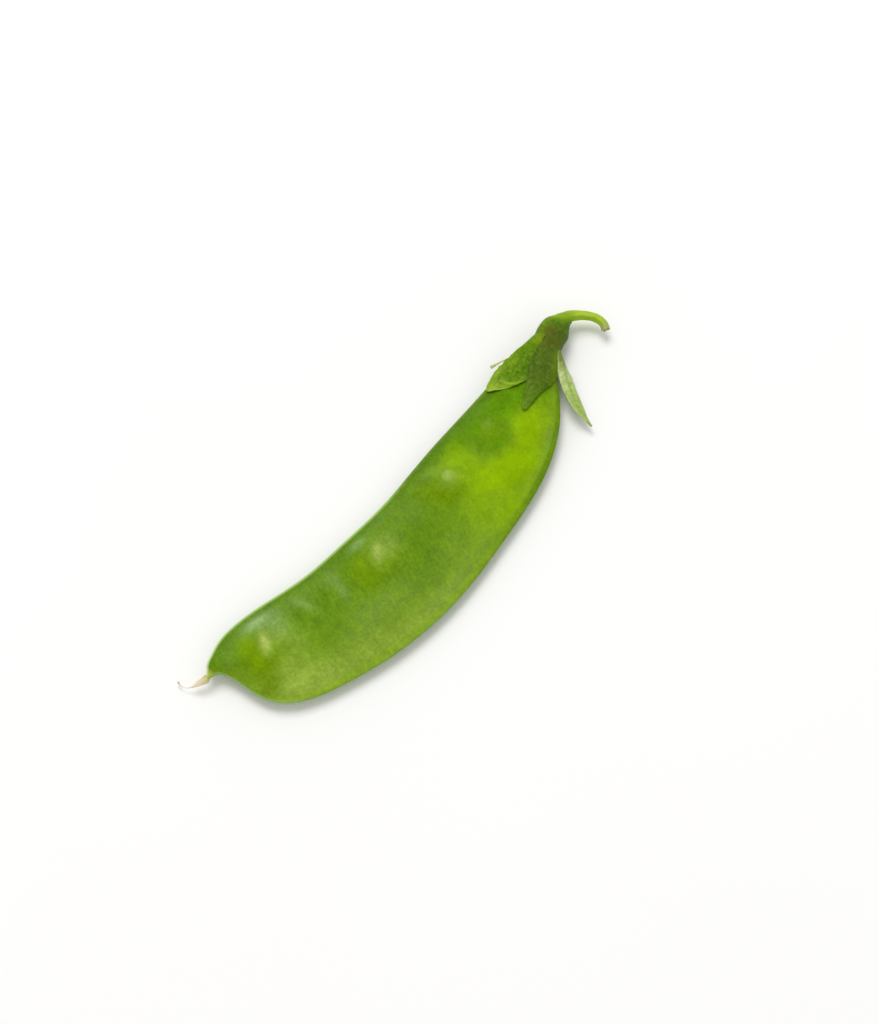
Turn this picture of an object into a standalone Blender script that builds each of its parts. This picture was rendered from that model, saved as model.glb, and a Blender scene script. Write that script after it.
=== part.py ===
"""A flat edible-pea pod, picked with its calyx and a hook of stalk, lying on its side.

Metres, +Z up. The pod lies along X: the beak with its dried style points to -X and
the calyx and stalk to +X. The seed-bearing (inner) seam runs along +Y, the rounded
outer seam along -Y. Z = 0 is the surface that the pod's soft lower wall rests on.
Tables below are in millimetres, measured from the middle of the pod's chord.
"""

import math

import bmesh
import bpy
import numpy as np
from mathutils import Matrix, Vector

MM = 0.001
SHIFT = (-2.321, 8.501)  # puts the origin under the middle of the whole object's box

# ---------------------------------------------------------------- driving sizes
# Driving sections from the beak to the neck: place along the pod in stations, inner
# seam x, y, outer seam x, y, half thickness of the wall pair at mid width, height of
# the seams' plane. The stations between them are computed.
PROFILE = (
    (0, -42.3, 0.3, -42.3, -0.7, 0.48, 2.75),
    (1, -41.7, 0.9, -41.6, -0.9, 0.70, 2.70),
    (2, -40.9, 1.6, -40.9, -1.2, 0.92, 2.65),
    (3, -39.6, 2.1, -40.3, -2.1, 1.20, 2.58),
    (5, -36.5, 3.0, -39.5, -5.5, 1.70, 2.43),
    (7, -32.0, 3.0, -38.5, -10.0, 2.10, 2.30),
    (9, -26.0, 2.0, -34.5, -14.5, 2.35, 2.22),
    (11, -18.0, 0.5, -26.0, -18.0, 2.47, 2.20),
    (13, -8.0, 0.0, -15.0, -20.5, 2.50, 2.20),
    (15, 1.5, 0.0, -3.5, -21.0, 2.50, 2.20),
    (17, 12.0, 1.0, 9.0, -19.5, 2.48, 2.26),
    (19, 23.0, 1.5, 21.0, -17.0, 2.38, 2.42),
    (21, 31.0, 2.0, 30.5, -12.5, 2.12, 2.74),
    (23, 37.0, 1.8, 36.5, -6.7, 1.65, 3.01),
    (24, 39.2, 1.3, 38.9, -4.0, 1.35, 3.10),
    (25, 41.1, 0.9, 40.9, -1.9, 1.05, 3.15),
)
# Seed swellings: x, y, height on the upper wall, radius
SEEDS = (
    (-33.3, -5.0, 0.62, 3.4),
    (-9.0, -7.4, 0.70, 3.6),
    (8.8, -5.2, 0.62, 3.2),
    (20.7, -5.8, 0.50, 3.4),
)
SEAM_R = 0.62  # radius of the cord that each seam forms
LENS = 0.74  # exponent of the wall's lens profile
REST_K = 0.12  # softness of the edge of the flattened resting patch

# The calyx cup's centreline and radius, from its mouth to where the stalk starts
CUP = (
    (40.45, -0.42, 3.15, 2.66),
    (41.35, -0.12, 3.15, 2.74),
    (42.40, 0.20, 3.15, 2.80),
    (43.45, 0.44, 3.16, 2.70),
    (44.40, 0.56, 3.16, 2.36),
    (45.20, 0.60, 3.15, 1.94),
    (45.85, 0.58, 3.13, 1.58),
    (46.45, 0.52, 3.10, 1.30),
)
CUP_WALL = 0.40  # the mouth's wall, round the pod's neck
CUP_RECESS = ((0.0, 1.00), (0.8, 0.97), (1.5, 0.80), (1.85, 0.50))  # depth, share

# Stalk centreline x, y, z and radius, from the cup to the snapped end
STALK = (
    (46.84, 0.45, 3.08, 1.12),
    (47.42, 0.20, 3.03, 0.98),
    (48.14, -0.34, 2.95, 0.88),
    (49.18, -1.32, 2.83, 0.82),
    (50.02, -2.60, 2.68, 0.79),
    (50.44, -3.88, 2.52, 0.77),
    (50.36, -4.94, 2.38, 0.76),
    (49.98, -5.62, 2.28, 0.77),
)

LOBE_T = 0.34  # thickness of a calyx lobe
LOBE_GAP = 0.32  # clear space from the cup's rim and from the pod
# Lobes that lie on the pod. First the angle of the base round the mouth and its
# half angle, in degrees (0 at the inner seam, 90 on top). Then rows: station on the
# pod, place round the pod from the inner seam (upper wall positive), half width,
# and height above the clear space.
LOBES_ON_POD = {
    "sepal_side_front": (
        (105, 38),
        (
            (24.45, 4.05, 1.95, 0.80),
            (23.90, 4.55, 2.28, 0.55),
            (23.50, 5.30, 2.40, 0.34),
            (23.00, 6.25, 2.38, 0.18),
            (22.30, 7.62, 2.16, 0.06),
            (21.60, 8.62, 1.82, 0.04),
            (20.95, 9.40, 1.32, 0.08),
            (20.45, 9.88, 0.80, 0.18),
            (20.00, 10.20, 0.15, 0.30),
        ),
    ),
    "sepal_upper_front": (
        (31, 28),
        (
            (24.45, 0.95, 0.95, 0.75),
            (23.90, 0.78, 0.98, 0.40),
            (23.50, 1.05, 1.30, 0.28),
            (23.00, 1.50, 1.82, 0.22),
            (22.30, 2.25, 2.64, 0.20),
            (21.60, 2.60, 3.04, 0.18),
            (20.95, 2.60, 2.75, 0.12),
            (20.45, 2.62, 2.05, 0.10),
            (20.12, 2.48, 1.10, 0.12),
            (19.92, 2.25, 0.16, 0.16),
        ),
    ),
    "sepal_side_back": (
        (254, 34),
        (
            (24.45, -4.55, 1.45, 0.60),
            (23.90, -5.15, 1.72, 0.30),
            (23.30, -5.80, 1.88, 0.10),
            (22.70, -6.50, 1.86, 0.00),
            (22.20, -7.10, 1.58, 0.00),
            (21.80, -7.60, 1.10, 0.00),
            (21.40, -8.00, 0.16, 0.02),
        ),
    ),
    "sepal_upper_back": (
        (324, 26),
        (
            (24.45, -1.55, 1.00, 0.55),
            (23.90, -1.85, 1.20, 0.25),
            (23.30, -2.10, 1.40, 0.06),
            (22.70, -2.25, 1.45, 0.00),
            (22.20, -2.35, 1.30, 0.00),
            (21.75, -2.45, 0.92, 0.00),
            (21.35, -2.50, 0.16, 0.04),
        ),
    ),
}
# The lobe that hangs free: rows of centre x, y, z, half width, roll about its length
# (0 faces the pod, 90 faces up) and the bend of its lower and upper half, in degrees.
LOBE_FREE = (
    (41.02, -3.06, 3.14, 1.50, 172, 34, 34),
    (40.42, -4.00, 3.10, 1.62, 164, 30, 30),
    (39.28, -5.68, 3.02, 1.78, 152, 24, 24),
    (38.16, -7.62, 2.90, 1.82, 146, 20, 20),
    (37.20, -9.66, 2.72, 1.74, 144, 18, 18),
    (36.28, -11.72, 2.48, 1.42, 144, 16, 16),
    (35.55, -13.80, 2.16, 0.90, 146, 12, 12),
    (34.98, -16.10, 1.76, 0.20, 148, 6, 6),
)

# Dried threads: centreline x, y, z, radius
STYLE = (
    (-42.68, -0.22, 2.66, 0.50),
    (-43.30, -0.10, 2.38, 0.60),
    (-44.05, 0.18, 2.02, 0.54),
    (-44.85, 0.55, 1.62, 0.38),
    (-45.55, 1.02, 1.28, 0.23),
    (-46.06, 1.56, 1.04, 0.17),
    (-46.32, 2.22, 0.96, 0.21),
    (-46.34, 2.80, 0.96, 0.24),
    (-46.22, 3.30, 1.04, 0.16),
)
STAMEN = (
    (38.95, 2.58, 2.50, 0.19),
    (37.60, 2.72, 2.08, 0.20),
    (36.10, 2.98, 1.98, 0.20),
    (34.70, 3.18, 2.02, 0.19),
    (33.40, 3.42, 2.22, 0.18),
    (32.10, 3.70, 2.32, 0.17),
    (30.90, 4.02, 2.42, 0.15),
)


# ---------------------------------------------------------------- curve helpers
def natural_spline(rows, samples):
    """Natural cubic spline through rows (uniform parameter), read at samples."""
    rows = np.array(rows, float)
    n = len(rows)
    a = np.eye(n) * 4.0
    for i in range(n - 1):
        a[i, i + 1] = a[i + 1, i] = 1.0
    a[0, 0] = a[-1, -1] = 2.0
    rhs = np.zeros_like(rows)
    rhs[0] = 3 * (rows[1] - rows[0])
    rhs[-1] = 3 * (rows[-1] - rows[-2])
    rhs[1:-1] = 3 * (rows[2:] - rows[:-2])
    d = np.linalg.solve(a, rhs)
    q = np.clip(np.asarray(samples, float), 0, n - 1)
    i = np.minimum(q.astype(int), n - 2)
    t = (q - i)[:, None]
    p0, p1, m0, m1 = rows[i], rows[i + 1], d[i], d[i + 1]
    return (
        p0
        + m0 * t
        + (3 * (p1 - p0) - 2 * m0 - m1) * t**2
        + (2 * (p0 - p1) + m0 + m1) * t**3
    )


def stations(profile):
    """One row per whole station, on natural cubics through the driving sections."""
    profile = np.array(profile, float)
    at, rows = profile[:, 0], profile[:, 1:]
    n, gap = len(at), np.diff(at)
    slope = np.diff(rows, axis=0) / gap[:, None]
    a, rhs = np.zeros((n, n)), np.zeros_like(rows)
    a[0, 0:2], a[-1, -2:] = (2, 1), (1, 2)
    rhs[0], rhs[-1] = 3 * slope[0], 3 * slope[-1]
    for i in range(1, n - 1):
        a[i, i - 1 : i + 2] = gap[i], 2 * (gap[i - 1] + gap[i]), gap[i - 1]
        rhs[i] = 3 * (gap[i] * slope[i - 1] + gap[i - 1] * slope[i])
    d = np.linalg.solve(a, rhs)
    q = np.arange(at[0], at[-1] + 1)
    i = np.minimum(np.searchsorted(at, q, side="right") - 1, n - 2)
    h = gap[i][:, None]
    t = (q - at[i])[:, None] / h
    p0, p1, m0, m1 = rows[i], rows[i + 1], d[i] * h, d[i + 1] * h
    return (
        p0
        + m0 * t
        + (3 * (p1 - p0) - 2 * m0 - m1) * t**2
        + (2 * (p0 - p1) + m0 + m1) * t**3
    )


STATIONS = stations(PROFILE)


# ---------------------------------------------------------------- the pod
def pod_rings(samples, turns):
    """Rings of points round the pod, one ring per sample along the stations."""
    row = natural_spline(STATIONS, samples)
    inner, outer, thick, plane = row[:, 0:2], row[:, 2:4], row[:, 4], row[:, 5]
    middle, half = (inner + outer) / 2, (inner - outer) / 2
    width = np.linalg.norm(half, axis=1)
    angles = np.arange(turns) * 2 * math.pi / turns
    u = np.cos(angles)
    upper = np.sin(angles) >= 0
    rings = []
    for k in range(len(samples)):
        xy = middle[k] + u[:, None] * half[k]
        edge = width[k] * (1 - np.abs(u))
        lens = thick[k] * np.clip(1 - u**2, 0, 1) ** LENS
        r = min(SEAM_R, width[k] * 0.45, thick[k] * 0.8)
        cord = np.sqrt(np.clip(r * r - (np.clip(edge, 0, 2 * r) - r) ** 2, 0, None))
        wall = np.maximum(lens, cord)
        swell = np.zeros_like(u)
        for x, y, h, s in SEEDS:
            d2 = (xy[:, 0] - x) ** 2 + (xy[:, 1] - y) ** 2
            swell += h * np.exp(-d2 / (s * s))
        swell *= np.clip(lens / thick[k] * 1.4, 0, 1)
        z = np.where(upper, plane[k] + wall + swell, plane[k] - wall - 0.8 * swell)
        soft = np.clip(z + REST_K, 0, None) ** 2 / (4 * REST_K)
        z = np.where(z < REST_K, soft, z)
        rings.append(np.column_stack([xy, z]))
    return rings


def loft(name, rings):
    """One closed body through rings of equal point count, with flat end caps."""
    mesh = bpy.data.meshes.new(name)
    bm = bmesh.new()
    loops = [[bm.verts.new(Vector(p) * MM) for p in ring] for ring in rings]
    for a, b in zip(loops, loops[1:]):
        for i in range(len(a)):
            j = (i + 1) % len(a)
            bm.faces.new((a[i], b[i], b[j], a[j]))
    bm.faces.new(loops[0])
    bm.faces.new(list(reversed(loops[-1])))
    bmesh.ops.recalc_face_normals(bm, faces=bm.faces)
    bm.to_mesh(mesh)
    bm.free()
    return add_object(name, mesh)


# ---------------------------------------------------------------- the calyx
def cup_frame(row, tangent):
    """A ring's own axes: across the pod's width, and up."""
    t = tangent / np.linalg.norm(tangent)
    across = np.cross((0, 0, 1.0), t)
    across /= np.linalg.norm(across)
    return across, np.cross(t, across)


def cup_rings(points, turns):
    """Rings from the floor of the neck's recess, over the rim, to the stalk end."""
    row = natural_spline(CUP, np.linspace(0, len(CUP) - 1, points))
    centre, radius = row[:, 0:3], row[:, 3]
    tangent = np.gradient(centre, axis=0)
    angles = np.arange(turns) * 2 * math.pi / turns
    rings = []

    def ring(c, t, r):
        across, up = cup_frame(c, t)
        rings.append(
            c
            + r * np.cos(angles)[:, None] * across
            + r * np.sin(angles)[:, None] * up
        )

    axis = tangent[0] / np.linalg.norm(tangent[0])
    for depth, share in reversed(CUP_RECESS):
        ring(centre[0] + depth * axis, axis, (radius[0] - CUP_WALL) * share)
    for c, t, r in zip(centre, tangent, radius):
        ring(c, t, r)
    return rings


def mouth_point(degrees, inset, before):
    """A point at the cup's rim, before it along the cup's axis."""
    row = natural_spline(CUP, (0.0, 0.2))
    axis = row[1, 0:3] - row[0, 0:3]
    axis /= np.linalg.norm(axis)
    across, up = cup_frame(row[0, 0:3], axis)
    a = math.radians(degrees)
    r = row[0, 3] - inset
    return row[0, 0:3] - before * axis + r * (math.cos(a) * across + math.sin(a) * up)


def skin_line(station, height):
    """The pod's outline at a station, moved outwards by height, with its length
    counted from the inner seam: positive over the upper wall."""
    ring = pod_rings(np.array([station]), 256)[0]
    ring = np.roll(ring, 128, axis=0)
    along = ring[128] - ring[0]
    along[2] = 0
    along /= np.linalg.norm(along)
    w = ring @ along
    tw, tz = np.gradient(w), np.gradient(ring[:, 2])
    size = np.hypot(tw, tz) + 1e-9
    moved = ring + height * (
        (tz / size)[:, None] * along + (-tw / size)[:, None] * np.array((0, 0, 1.0))
    )
    step = np.linalg.norm(np.diff(moved, axis=0), axis=1)
    length = np.concatenate([[0], np.cumsum(step)])
    return moved, length - length[128]


def lobe_on_pod(name, base, rows, along, across):
    """A lobe that leaves the cup's rim and lies along the pod's wall."""
    degrees, half_angle = base
    table = natural_spline(rows, np.linspace(0, len(rows) - 1, along))
    grid = []
    for k, (station, middle, half, height) in enumerate(table):
        line, length = skin_line(station, LOBE_GAP + LOBE_T / 2 + max(height, 0))
        t = min(1.0, k / (along * 0.30))
        t = t * t * (3 - 2 * t)
        points = []
        for v in np.linspace(-1, 1, across):
            at = middle + v * half
            on_pod = np.array([np.interp(at, length, line[:, i]) for i in range(3)])
            rim = mouth_point(degrees + v * half_angle, LOBE_T / 2 + 0.03, LOBE_GAP)
            points.append((1 - t) * rim + t * on_pod)
        grid.append(points)
    return sheet(name, grid)


def lobe_free(name, rows, along, across):
    """A bent leaf-like sheet on its own centreline."""
    row = natural_spline(rows, np.linspace(0, len(rows) - 1, along))
    centre, half, roll, bend = row[:, 0:3], row[:, 3], row[:, 4], row[:, 5:7]
    tangent = np.gradient(centre, axis=0)
    tangent /= np.linalg.norm(tangent, axis=1)[:, None]
    grid = []
    for k in range(along):
        side = np.cross(tangent[k], (0, 0, 1.0))
        side /= np.linalg.norm(side)
        lift = np.cross(side, tangent[k])
        phi = math.radians(roll[k])
        face = math.cos(phi) * side + math.sin(phi) * lift
        breadth = -math.sin(phi) * side + math.cos(phi) * lift
        points = []
        for v in np.linspace(-1, 1, across):
            alpha = math.radians(max(bend[k][0] if v < 0 else bend[k][1], 0.1))
            radius = half[k] / alpha
            points.append(
                centre[k]
                + radius * math.sin(alpha * v) * breadth
                - radius * (1 - math.cos(alpha * v)) * face
            )
        grid.append(points)
    return sheet(name, grid)


def sheet(name, grid):
    """A grid of points as one surface, given its thickness by Solidify."""
    mesh = bpy.data.meshes.new(name)
    bm = bmesh.new()
    verts = [[bm.verts.new(Vector(p) * MM) for p in points] for points in grid]
    for a, b in zip(verts, verts[1:]):
        for i in range(len(a) - 1):
            bm.faces.new((a[i], a[i + 1], b[i + 1], b[i]))
    bm.to_mesh(mesh)
    bm.free()
    obj = add_object(name, mesh)
    skin = obj.modifiers.new("thickness", "SOLIDIFY")
    skin.thickness = LOBE_T * MM
    skin.offset = 0
    skin.use_rim = True
    return obj


# ---------------------------------------------------------------- stalk and threads
def strand(name, rows, points, roundness):
    """A round strand: a curve with a bevel, its radius given point by point."""
    row = natural_spline(rows, np.linspace(0, len(rows) - 1, points))
    curve = bpy.data.curves.new(name, "CURVE")
    curve.dimensions = "3D"
    curve.bevel_depth = MM
    curve.bevel_resolution = roundness
    curve.use_fill_caps = True
    spline = curve.splines.new("POLY")
    spline.points.add(points - 1)
    for point, r in zip(spline.points, row):
        point.co = (r[0] * MM, r[1] * MM, r[2] * MM, 1)
        point.radius = r[3]
    return add_object(name, curve)


# ---------------------------------------------------------------- scene and materials
def add_object(name, data):
    obj = bpy.data.objects.new(name, data)
    bpy.context.scene.collection.objects.link(obj)
    obj.parent = bpy.data.objects["placing"]
    return obj


def paint(obj, colour, roughness):
    mat = bpy.data.materials.new(obj.name)
    mat.use_nodes = True
    shader = mat.node_tree.nodes["Principled BSDF"]
    shader.inputs["Base Color"].default_value = (*colour, 1)
    shader.inputs["Roughness"].default_value = roughness
    shader.inputs["Metallic"].default_value = 0
    obj.data.materials.append(mat)
    if obj.type == "MESH":
        obj.data.shade_smooth()
        obj.data.set_sharp_from_angle(angle=math.radians(50))


def main():
    for obj in list(bpy.data.objects):
        bpy.data.objects.remove(obj)
    placing = bpy.data.objects.new("placing", None)
    placing.location = (SHIFT[0] * MM, SHIFT[1] * MM, 0)
    bpy.context.scene.collection.objects.link(placing)

    last = len(STATIONS) - 1
    pod = loft("pod", pod_rings(np.linspace(0, last, 2 * last + 1), 32))
    paint(pod, (0.20, 0.34, 0.03), 0.45)

    for name, (base, rows) in LOBES_ON_POD.items():
        paint(lobe_on_pod(name, base, rows, 13, 7), (0.13, 0.24, 0.03), 0.6)
    free = lobe_free("sepal_lower_free", LOBE_FREE, 13, 5)
    paint(free, (0.32, 0.44, 0.14), 0.6)

    paint(loft("calyx_cup", cup_rings(12, 24)), (0.12, 0.22, 0.03), 0.55)
    paint(strand("stalk", STALK, 17, 3), (0.30, 0.46, 0.04), 0.45)
    paint(strand("style_thread", STYLE, 13, 2), (0.72, 0.62, 0.42), 0.8)
    paint(strand("stamen_thread", STAMEN, 9, 2), (0.55, 0.50, 0.30), 0.8)
    bpy.context.view_layer.update()


main()
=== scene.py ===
"""The finished look of one snow pea pod, lying flat on a pale surface.

Shapes are worked out in millimetres in the part's own layout and moved by SHIFT,
as the solid model is, so every piece lies exactly where its solid lies. The pod is
one skin with cord-like seams, four seed swellings, slow waves and fine creases.
The calyx is a cup with five leafy lobes, each a thin closed blade with nerves and
a waved margin. The stalk is ribbed and snapped off. The dried style and the
withered stamen are thin twisted threads.
"""

import math

import bpy
import numpy as np
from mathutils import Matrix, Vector


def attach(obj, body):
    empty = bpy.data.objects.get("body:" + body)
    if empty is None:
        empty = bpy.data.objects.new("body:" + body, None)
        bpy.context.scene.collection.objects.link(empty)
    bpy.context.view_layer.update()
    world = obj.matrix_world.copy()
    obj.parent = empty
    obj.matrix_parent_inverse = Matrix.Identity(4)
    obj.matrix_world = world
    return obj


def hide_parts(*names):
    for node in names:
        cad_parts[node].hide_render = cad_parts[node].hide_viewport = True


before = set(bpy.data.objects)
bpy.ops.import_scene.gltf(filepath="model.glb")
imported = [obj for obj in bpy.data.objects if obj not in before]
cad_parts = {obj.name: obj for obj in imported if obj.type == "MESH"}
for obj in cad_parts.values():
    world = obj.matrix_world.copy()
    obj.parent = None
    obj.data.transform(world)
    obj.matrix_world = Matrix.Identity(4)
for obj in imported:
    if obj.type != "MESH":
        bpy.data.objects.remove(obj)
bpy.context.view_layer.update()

MM = 0.001
SHIFT = np.array((-2.321, 8.501, 0.0))

# ---------------------------------------------------------------- the part's layout
# Driving sections of the pod: place along it in stations, inner seam x, y, outer seam
# x, y, half thickness, seam plane z. The stations between them are computed.
PROFILE = (
    (0, -42.3, 0.3, -42.3, -0.7, 0.48, 2.75),
    (1, -41.7, 0.9, -41.6, -0.9, 0.70, 2.70),
    (2, -40.9, 1.6, -40.9, -1.2, 0.92, 2.65),
    (3, -39.6, 2.1, -40.3, -2.1, 1.20, 2.58),
    (5, -36.5, 3.0, -39.5, -5.5, 1.70, 2.43),
    (7, -32.0, 3.0, -38.5, -10.0, 2.10, 2.30),
    (9, -26.0, 2.0, -34.5, -14.5, 2.35, 2.22),
    (11, -18.0, 0.5, -26.0, -18.0, 2.47, 2.20),
    (13, -8.0, 0.0, -15.0, -20.5, 2.50, 2.20),
    (15, 1.5, 0.0, -3.5, -21.0, 2.50, 2.20),
    (17, 12.0, 1.0, 9.0, -19.5, 2.48, 2.26),
    (19, 23.0, 1.5, 21.0, -17.0, 2.38, 2.42),
    (21, 31.0, 2.0, 30.5, -12.5, 2.12, 2.74),
    (23, 37.0, 1.8, 36.5, -6.7, 1.65, 3.01),
    (24, 39.2, 1.3, 38.9, -4.0, 1.35, 3.10),
    (25, 41.1, 0.9, 40.9, -1.9, 1.05, 3.15),
)
# Seed swellings: x, y, height, reach
SEEDS = (
    (-33.3, -5.0, 0.62, 3.3),
    (-9.0, -7.4, 0.70, 3.6),
    (8.8, -5.2, 0.62, 3.3),
    (20.7, -5.8, 0.50, 3.5),
)
SEAM_R = 0.62
REST_K = 0.12
# Cup: centre x, y, z, radius
CUP = (
    (40.45, -0.42, 3.15, 2.66),
    (41.35, -0.12, 3.15, 2.74),
    (42.40, 0.20, 3.15, 2.80),
    (43.45, 0.44, 3.16, 2.70),
    (44.40, 0.56, 3.16, 2.36),
    (45.20, 0.60, 3.15, 1.94),
    (45.85, 0.58, 3.13, 1.58),
    (46.45, 0.52, 3.10, 1.30),
)
CUP_WALL = 0.40
CUP_RECESS = ((0.0, 1.00), (0.8, 0.97), (1.5, 0.80), (1.85, 0.50))
STALK = (
    (46.20, 0.55, 3.11, 1.20),
    (46.84, 0.45, 3.08, 1.21),
    (47.42, 0.20, 3.03, 1.03),
    (48.14, -0.34, 2.95, 0.90),
    (49.18, -1.32, 2.83, 0.82),
    (50.02, -2.60, 2.68, 0.79),
    (50.44, -3.88, 2.52, 0.77),
    (50.36, -4.94, 2.38, 0.76),
    (49.98, -5.62, 2.28, 0.77),
)
# Front lobes, from inside the cup to the tip: left edge x, y, right edge x, y
BROAD = (
    (42.4, 2.30, 42.4, 0.70),
    (41.0, 2.10, 41.0, 0.30),
    (39.6, 2.12, 39.6, -0.05),
    (38.2, 2.15, 38.2, -0.25),
    (36.9, 2.28, 36.8, -0.60),
    (35.7, 2.46, 35.4, -1.25),
    (34.6, 2.46, 34.1, -2.05),
    (33.4, 2.56, 32.8, -2.70),
    (32.2, 2.66, 31.7, -2.66),
    (31.0, 2.62, 30.6, -2.20),
    (29.8, 2.42, 29.4, -1.52),
    (28.5, 2.10, 28.4, -0.72),
    (27.4, 1.78, 27.5, 0.06),
    (26.6, 1.26, 26.8, 0.86),
)
SIDE = (
    (42.7, 0.55, 42.7, -2.30),
    (41.4, 0.20, 41.5, -2.95),
    (40.1, -0.05, 40.3, -3.62),
    (38.8, -0.18, 39.2, -4.38),
    (37.6, -0.30, 38.1, -5.12),
    (36.5, -0.48, 37.1, -5.90),
    (35.4, -0.90, 36.0, -6.32),
    (34.3, -1.50, 34.8, -6.42),
    (33.2, -2.20, 33.6, -6.36),
    (32.1, -3.10, 32.4, -6.28),
    (31.0, -3.92, 31.2, -6.32),
    (29.9, -4.50, 30.2, -6.42),
    (28.8, -5.20, 29.1, -6.52),
    (27.9, -6.10, 28.0, -6.45),
)
# Back lobes: (angle on the rim, half angle), rows of
# station, arc place round the pod, half width, lift
LOBES_BACK = {
    "sepal_side_back": (
        (254, 40),
        (
            (24.45, -4.55, 1.65, 0.60),
            (23.90, -5.15, 1.85, 0.30),
            (23.30, -5.80, 1.95, 0.10),
            (22.70, -6.50, 1.90, 0.00),
            (22.20, -7.10, 1.58, 0.00),
            (21.80, -7.60, 1.10, 0.00),
            (21.40, -8.00, 0.10, 0.02),
        ),
    ),
    "sepal_upper_back": (
        (324, 34),
        (
            (24.45, -1.55, 1.20, 0.55),
            (23.90, -1.85, 1.35, 0.25),
            (23.30, -2.10, 1.50, 0.06),
            (22.70, -2.25, 1.50, 0.00),
            (22.20, -2.35, 1.32, 0.00),
            (21.75, -2.45, 0.92, 0.00),
            (21.35, -2.50, 0.10, 0.04),
        ),
    ),
}
# The free lobe: centre x, y, z, half width, roll, bend of each half
LOBE_FREE = (
    (41.95, -2.42, 3.14, 1.30, 176, 34, 34),
    (41.02, -3.02, 3.14, 1.52, 172, 34, 34),
    (40.40, -3.98, 3.10, 1.62, 160, 30, 30),
    (39.26, -5.66, 3.02, 1.78, 145, 24, 24),
    (38.06, -7.50, 2.90, 1.80, 135, 20, 20),
    (37.00, -9.46, 2.72, 1.74, 131, 18, 18),
    (36.04, -11.52, 2.48, 1.54, 130, 16, 16),
    (35.38, -13.64, 2.16, 1.06, 134, 12, 12),
    (34.98, -16.10, 1.76, 0.08, 148, 6, 6),
)
STYLE = (
    (-42.05, -0.20, 2.74, 0.42),
    (-42.68, -0.22, 2.66, 0.52),
    (-43.30, -0.10, 2.38, 0.60),
    (-44.05, 0.18, 2.02, 0.52),
    (-44.85, 0.55, 1.62, 0.26),
    (-45.55, 1.02, 1.28, 0.10),
    (-46.06, 1.56, 1.04, 0.065),
    (-46.32, 2.22, 0.96, 0.065),
    (-46.34, 2.80, 0.96, 0.10),
    (-46.24, 3.16, 1.02, 0.19),
)
STAMEN = (
    (40.90, 1.62, 3.20, 0.14),
    (39.95, 1.95, 2.90, 0.15),
    (38.95, 2.12, 2.66, 0.15),
    (37.60, 2.26, 2.50, 0.14),
    (36.10, 2.42, 2.46, 0.13),
    (34.70, 2.66, 2.52, 0.14),
    (33.40, 3.00, 2.62, 0.15),
    (32.10, 3.42, 2.70, 0.16),
    (30.80, 3.90, 2.74, 0.20),
)


# ---------------------------------------------------------------- curves and fields
def natural_spline(rows, samples):
    """Natural cubic spline through rows (uniform parameter), read at samples."""
    rows = np.array(rows, float)
    n = len(rows)
    a = np.eye(n) * 4.0
    for i in range(n - 1):
        a[i, i + 1] = a[i + 1, i] = 1.0
    a[0, 0] = a[-1, -1] = 2.0
    rhs = np.zeros_like(rows)
    rhs[0] = 3 * (rows[1] - rows[0])
    rhs[-1] = 3 * (rows[-1] - rows[-2])
    rhs[1:-1] = 3 * (rows[2:] - rows[:-2])
    d = np.linalg.solve(a, rhs)
    q = np.clip(np.asarray(samples, float), 0, n - 1)
    i = np.minimum(q.astype(int), n - 2)
    t = (q - i)[:, None]
    p0, p1, m0, m1 = rows[i], rows[i + 1], d[i], d[i + 1]
    return (
        p0
        + m0 * t
        + (3 * (p1 - p0) - 2 * m0 - m1) * t**2
        + (2 * (p0 - p1) + m0 + m1) * t**3
    )


def stations(profile):
    """One row per whole station, on natural cubics through the driving sections."""
    profile = np.array(profile, float)
    at, rows = profile[:, 0], profile[:, 1:]
    n, gap = len(at), np.diff(at)
    slope = np.diff(rows, axis=0) / gap[:, None]
    a, rhs = np.zeros((n, n)), np.zeros_like(rows)
    a[0, 0:2], a[-1, -2:] = (2, 1), (1, 2)
    rhs[0], rhs[-1] = 3 * slope[0], 3 * slope[-1]
    for i in range(1, n - 1):
        a[i, i - 1 : i + 2] = gap[i], 2 * (gap[i - 1] + gap[i]), gap[i - 1]
        rhs[i] = 3 * (gap[i] * slope[i - 1] + gap[i - 1] * slope[i])
    d = np.linalg.solve(a, rhs)
    q = np.arange(at[0], at[-1] + 1)
    i = np.minimum(np.searchsorted(at, q, side="right") - 1, n - 2)
    h = gap[i][:, None]
    t = (q - at[i])[:, None] / h
    p0, p1, m0, m1 = rows[i], rows[i + 1], d[i] * h, d[i + 1] * h
    return (
        p0
        + m0 * t
        + (3 * (p1 - p0) - 2 * m0 - m1) * t**2
        + (2 * (p0 - p1) + m0 + m1) * t**3
    )


STATIONS = stations(PROFILE)


def unit(v):
    return v / (np.linalg.norm(v, axis=-1, keepdims=True) + 1e-12)


def smooth(x, low, high):
    """0 below low, 1 above high, smooth between; low may be above high."""
    t = np.clip((x - low) / (high - low), 0, 1)
    return t * t * (3 - 2 * t)


def spot(x, y, cx, cy, rx, ry, turn=0.0, edge=2.0):
    """A soft round patch, 1 in the middle."""
    c, s = math.cos(math.radians(turn)), math.sin(math.radians(turn))
    dx, dy = x - cx, y - cy
    p, q = (dx * c + dy * s) / rx, (-dx * s + dy * c) / ry
    return np.exp(-((p * p + q * q) ** (edge / 2)))


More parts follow.
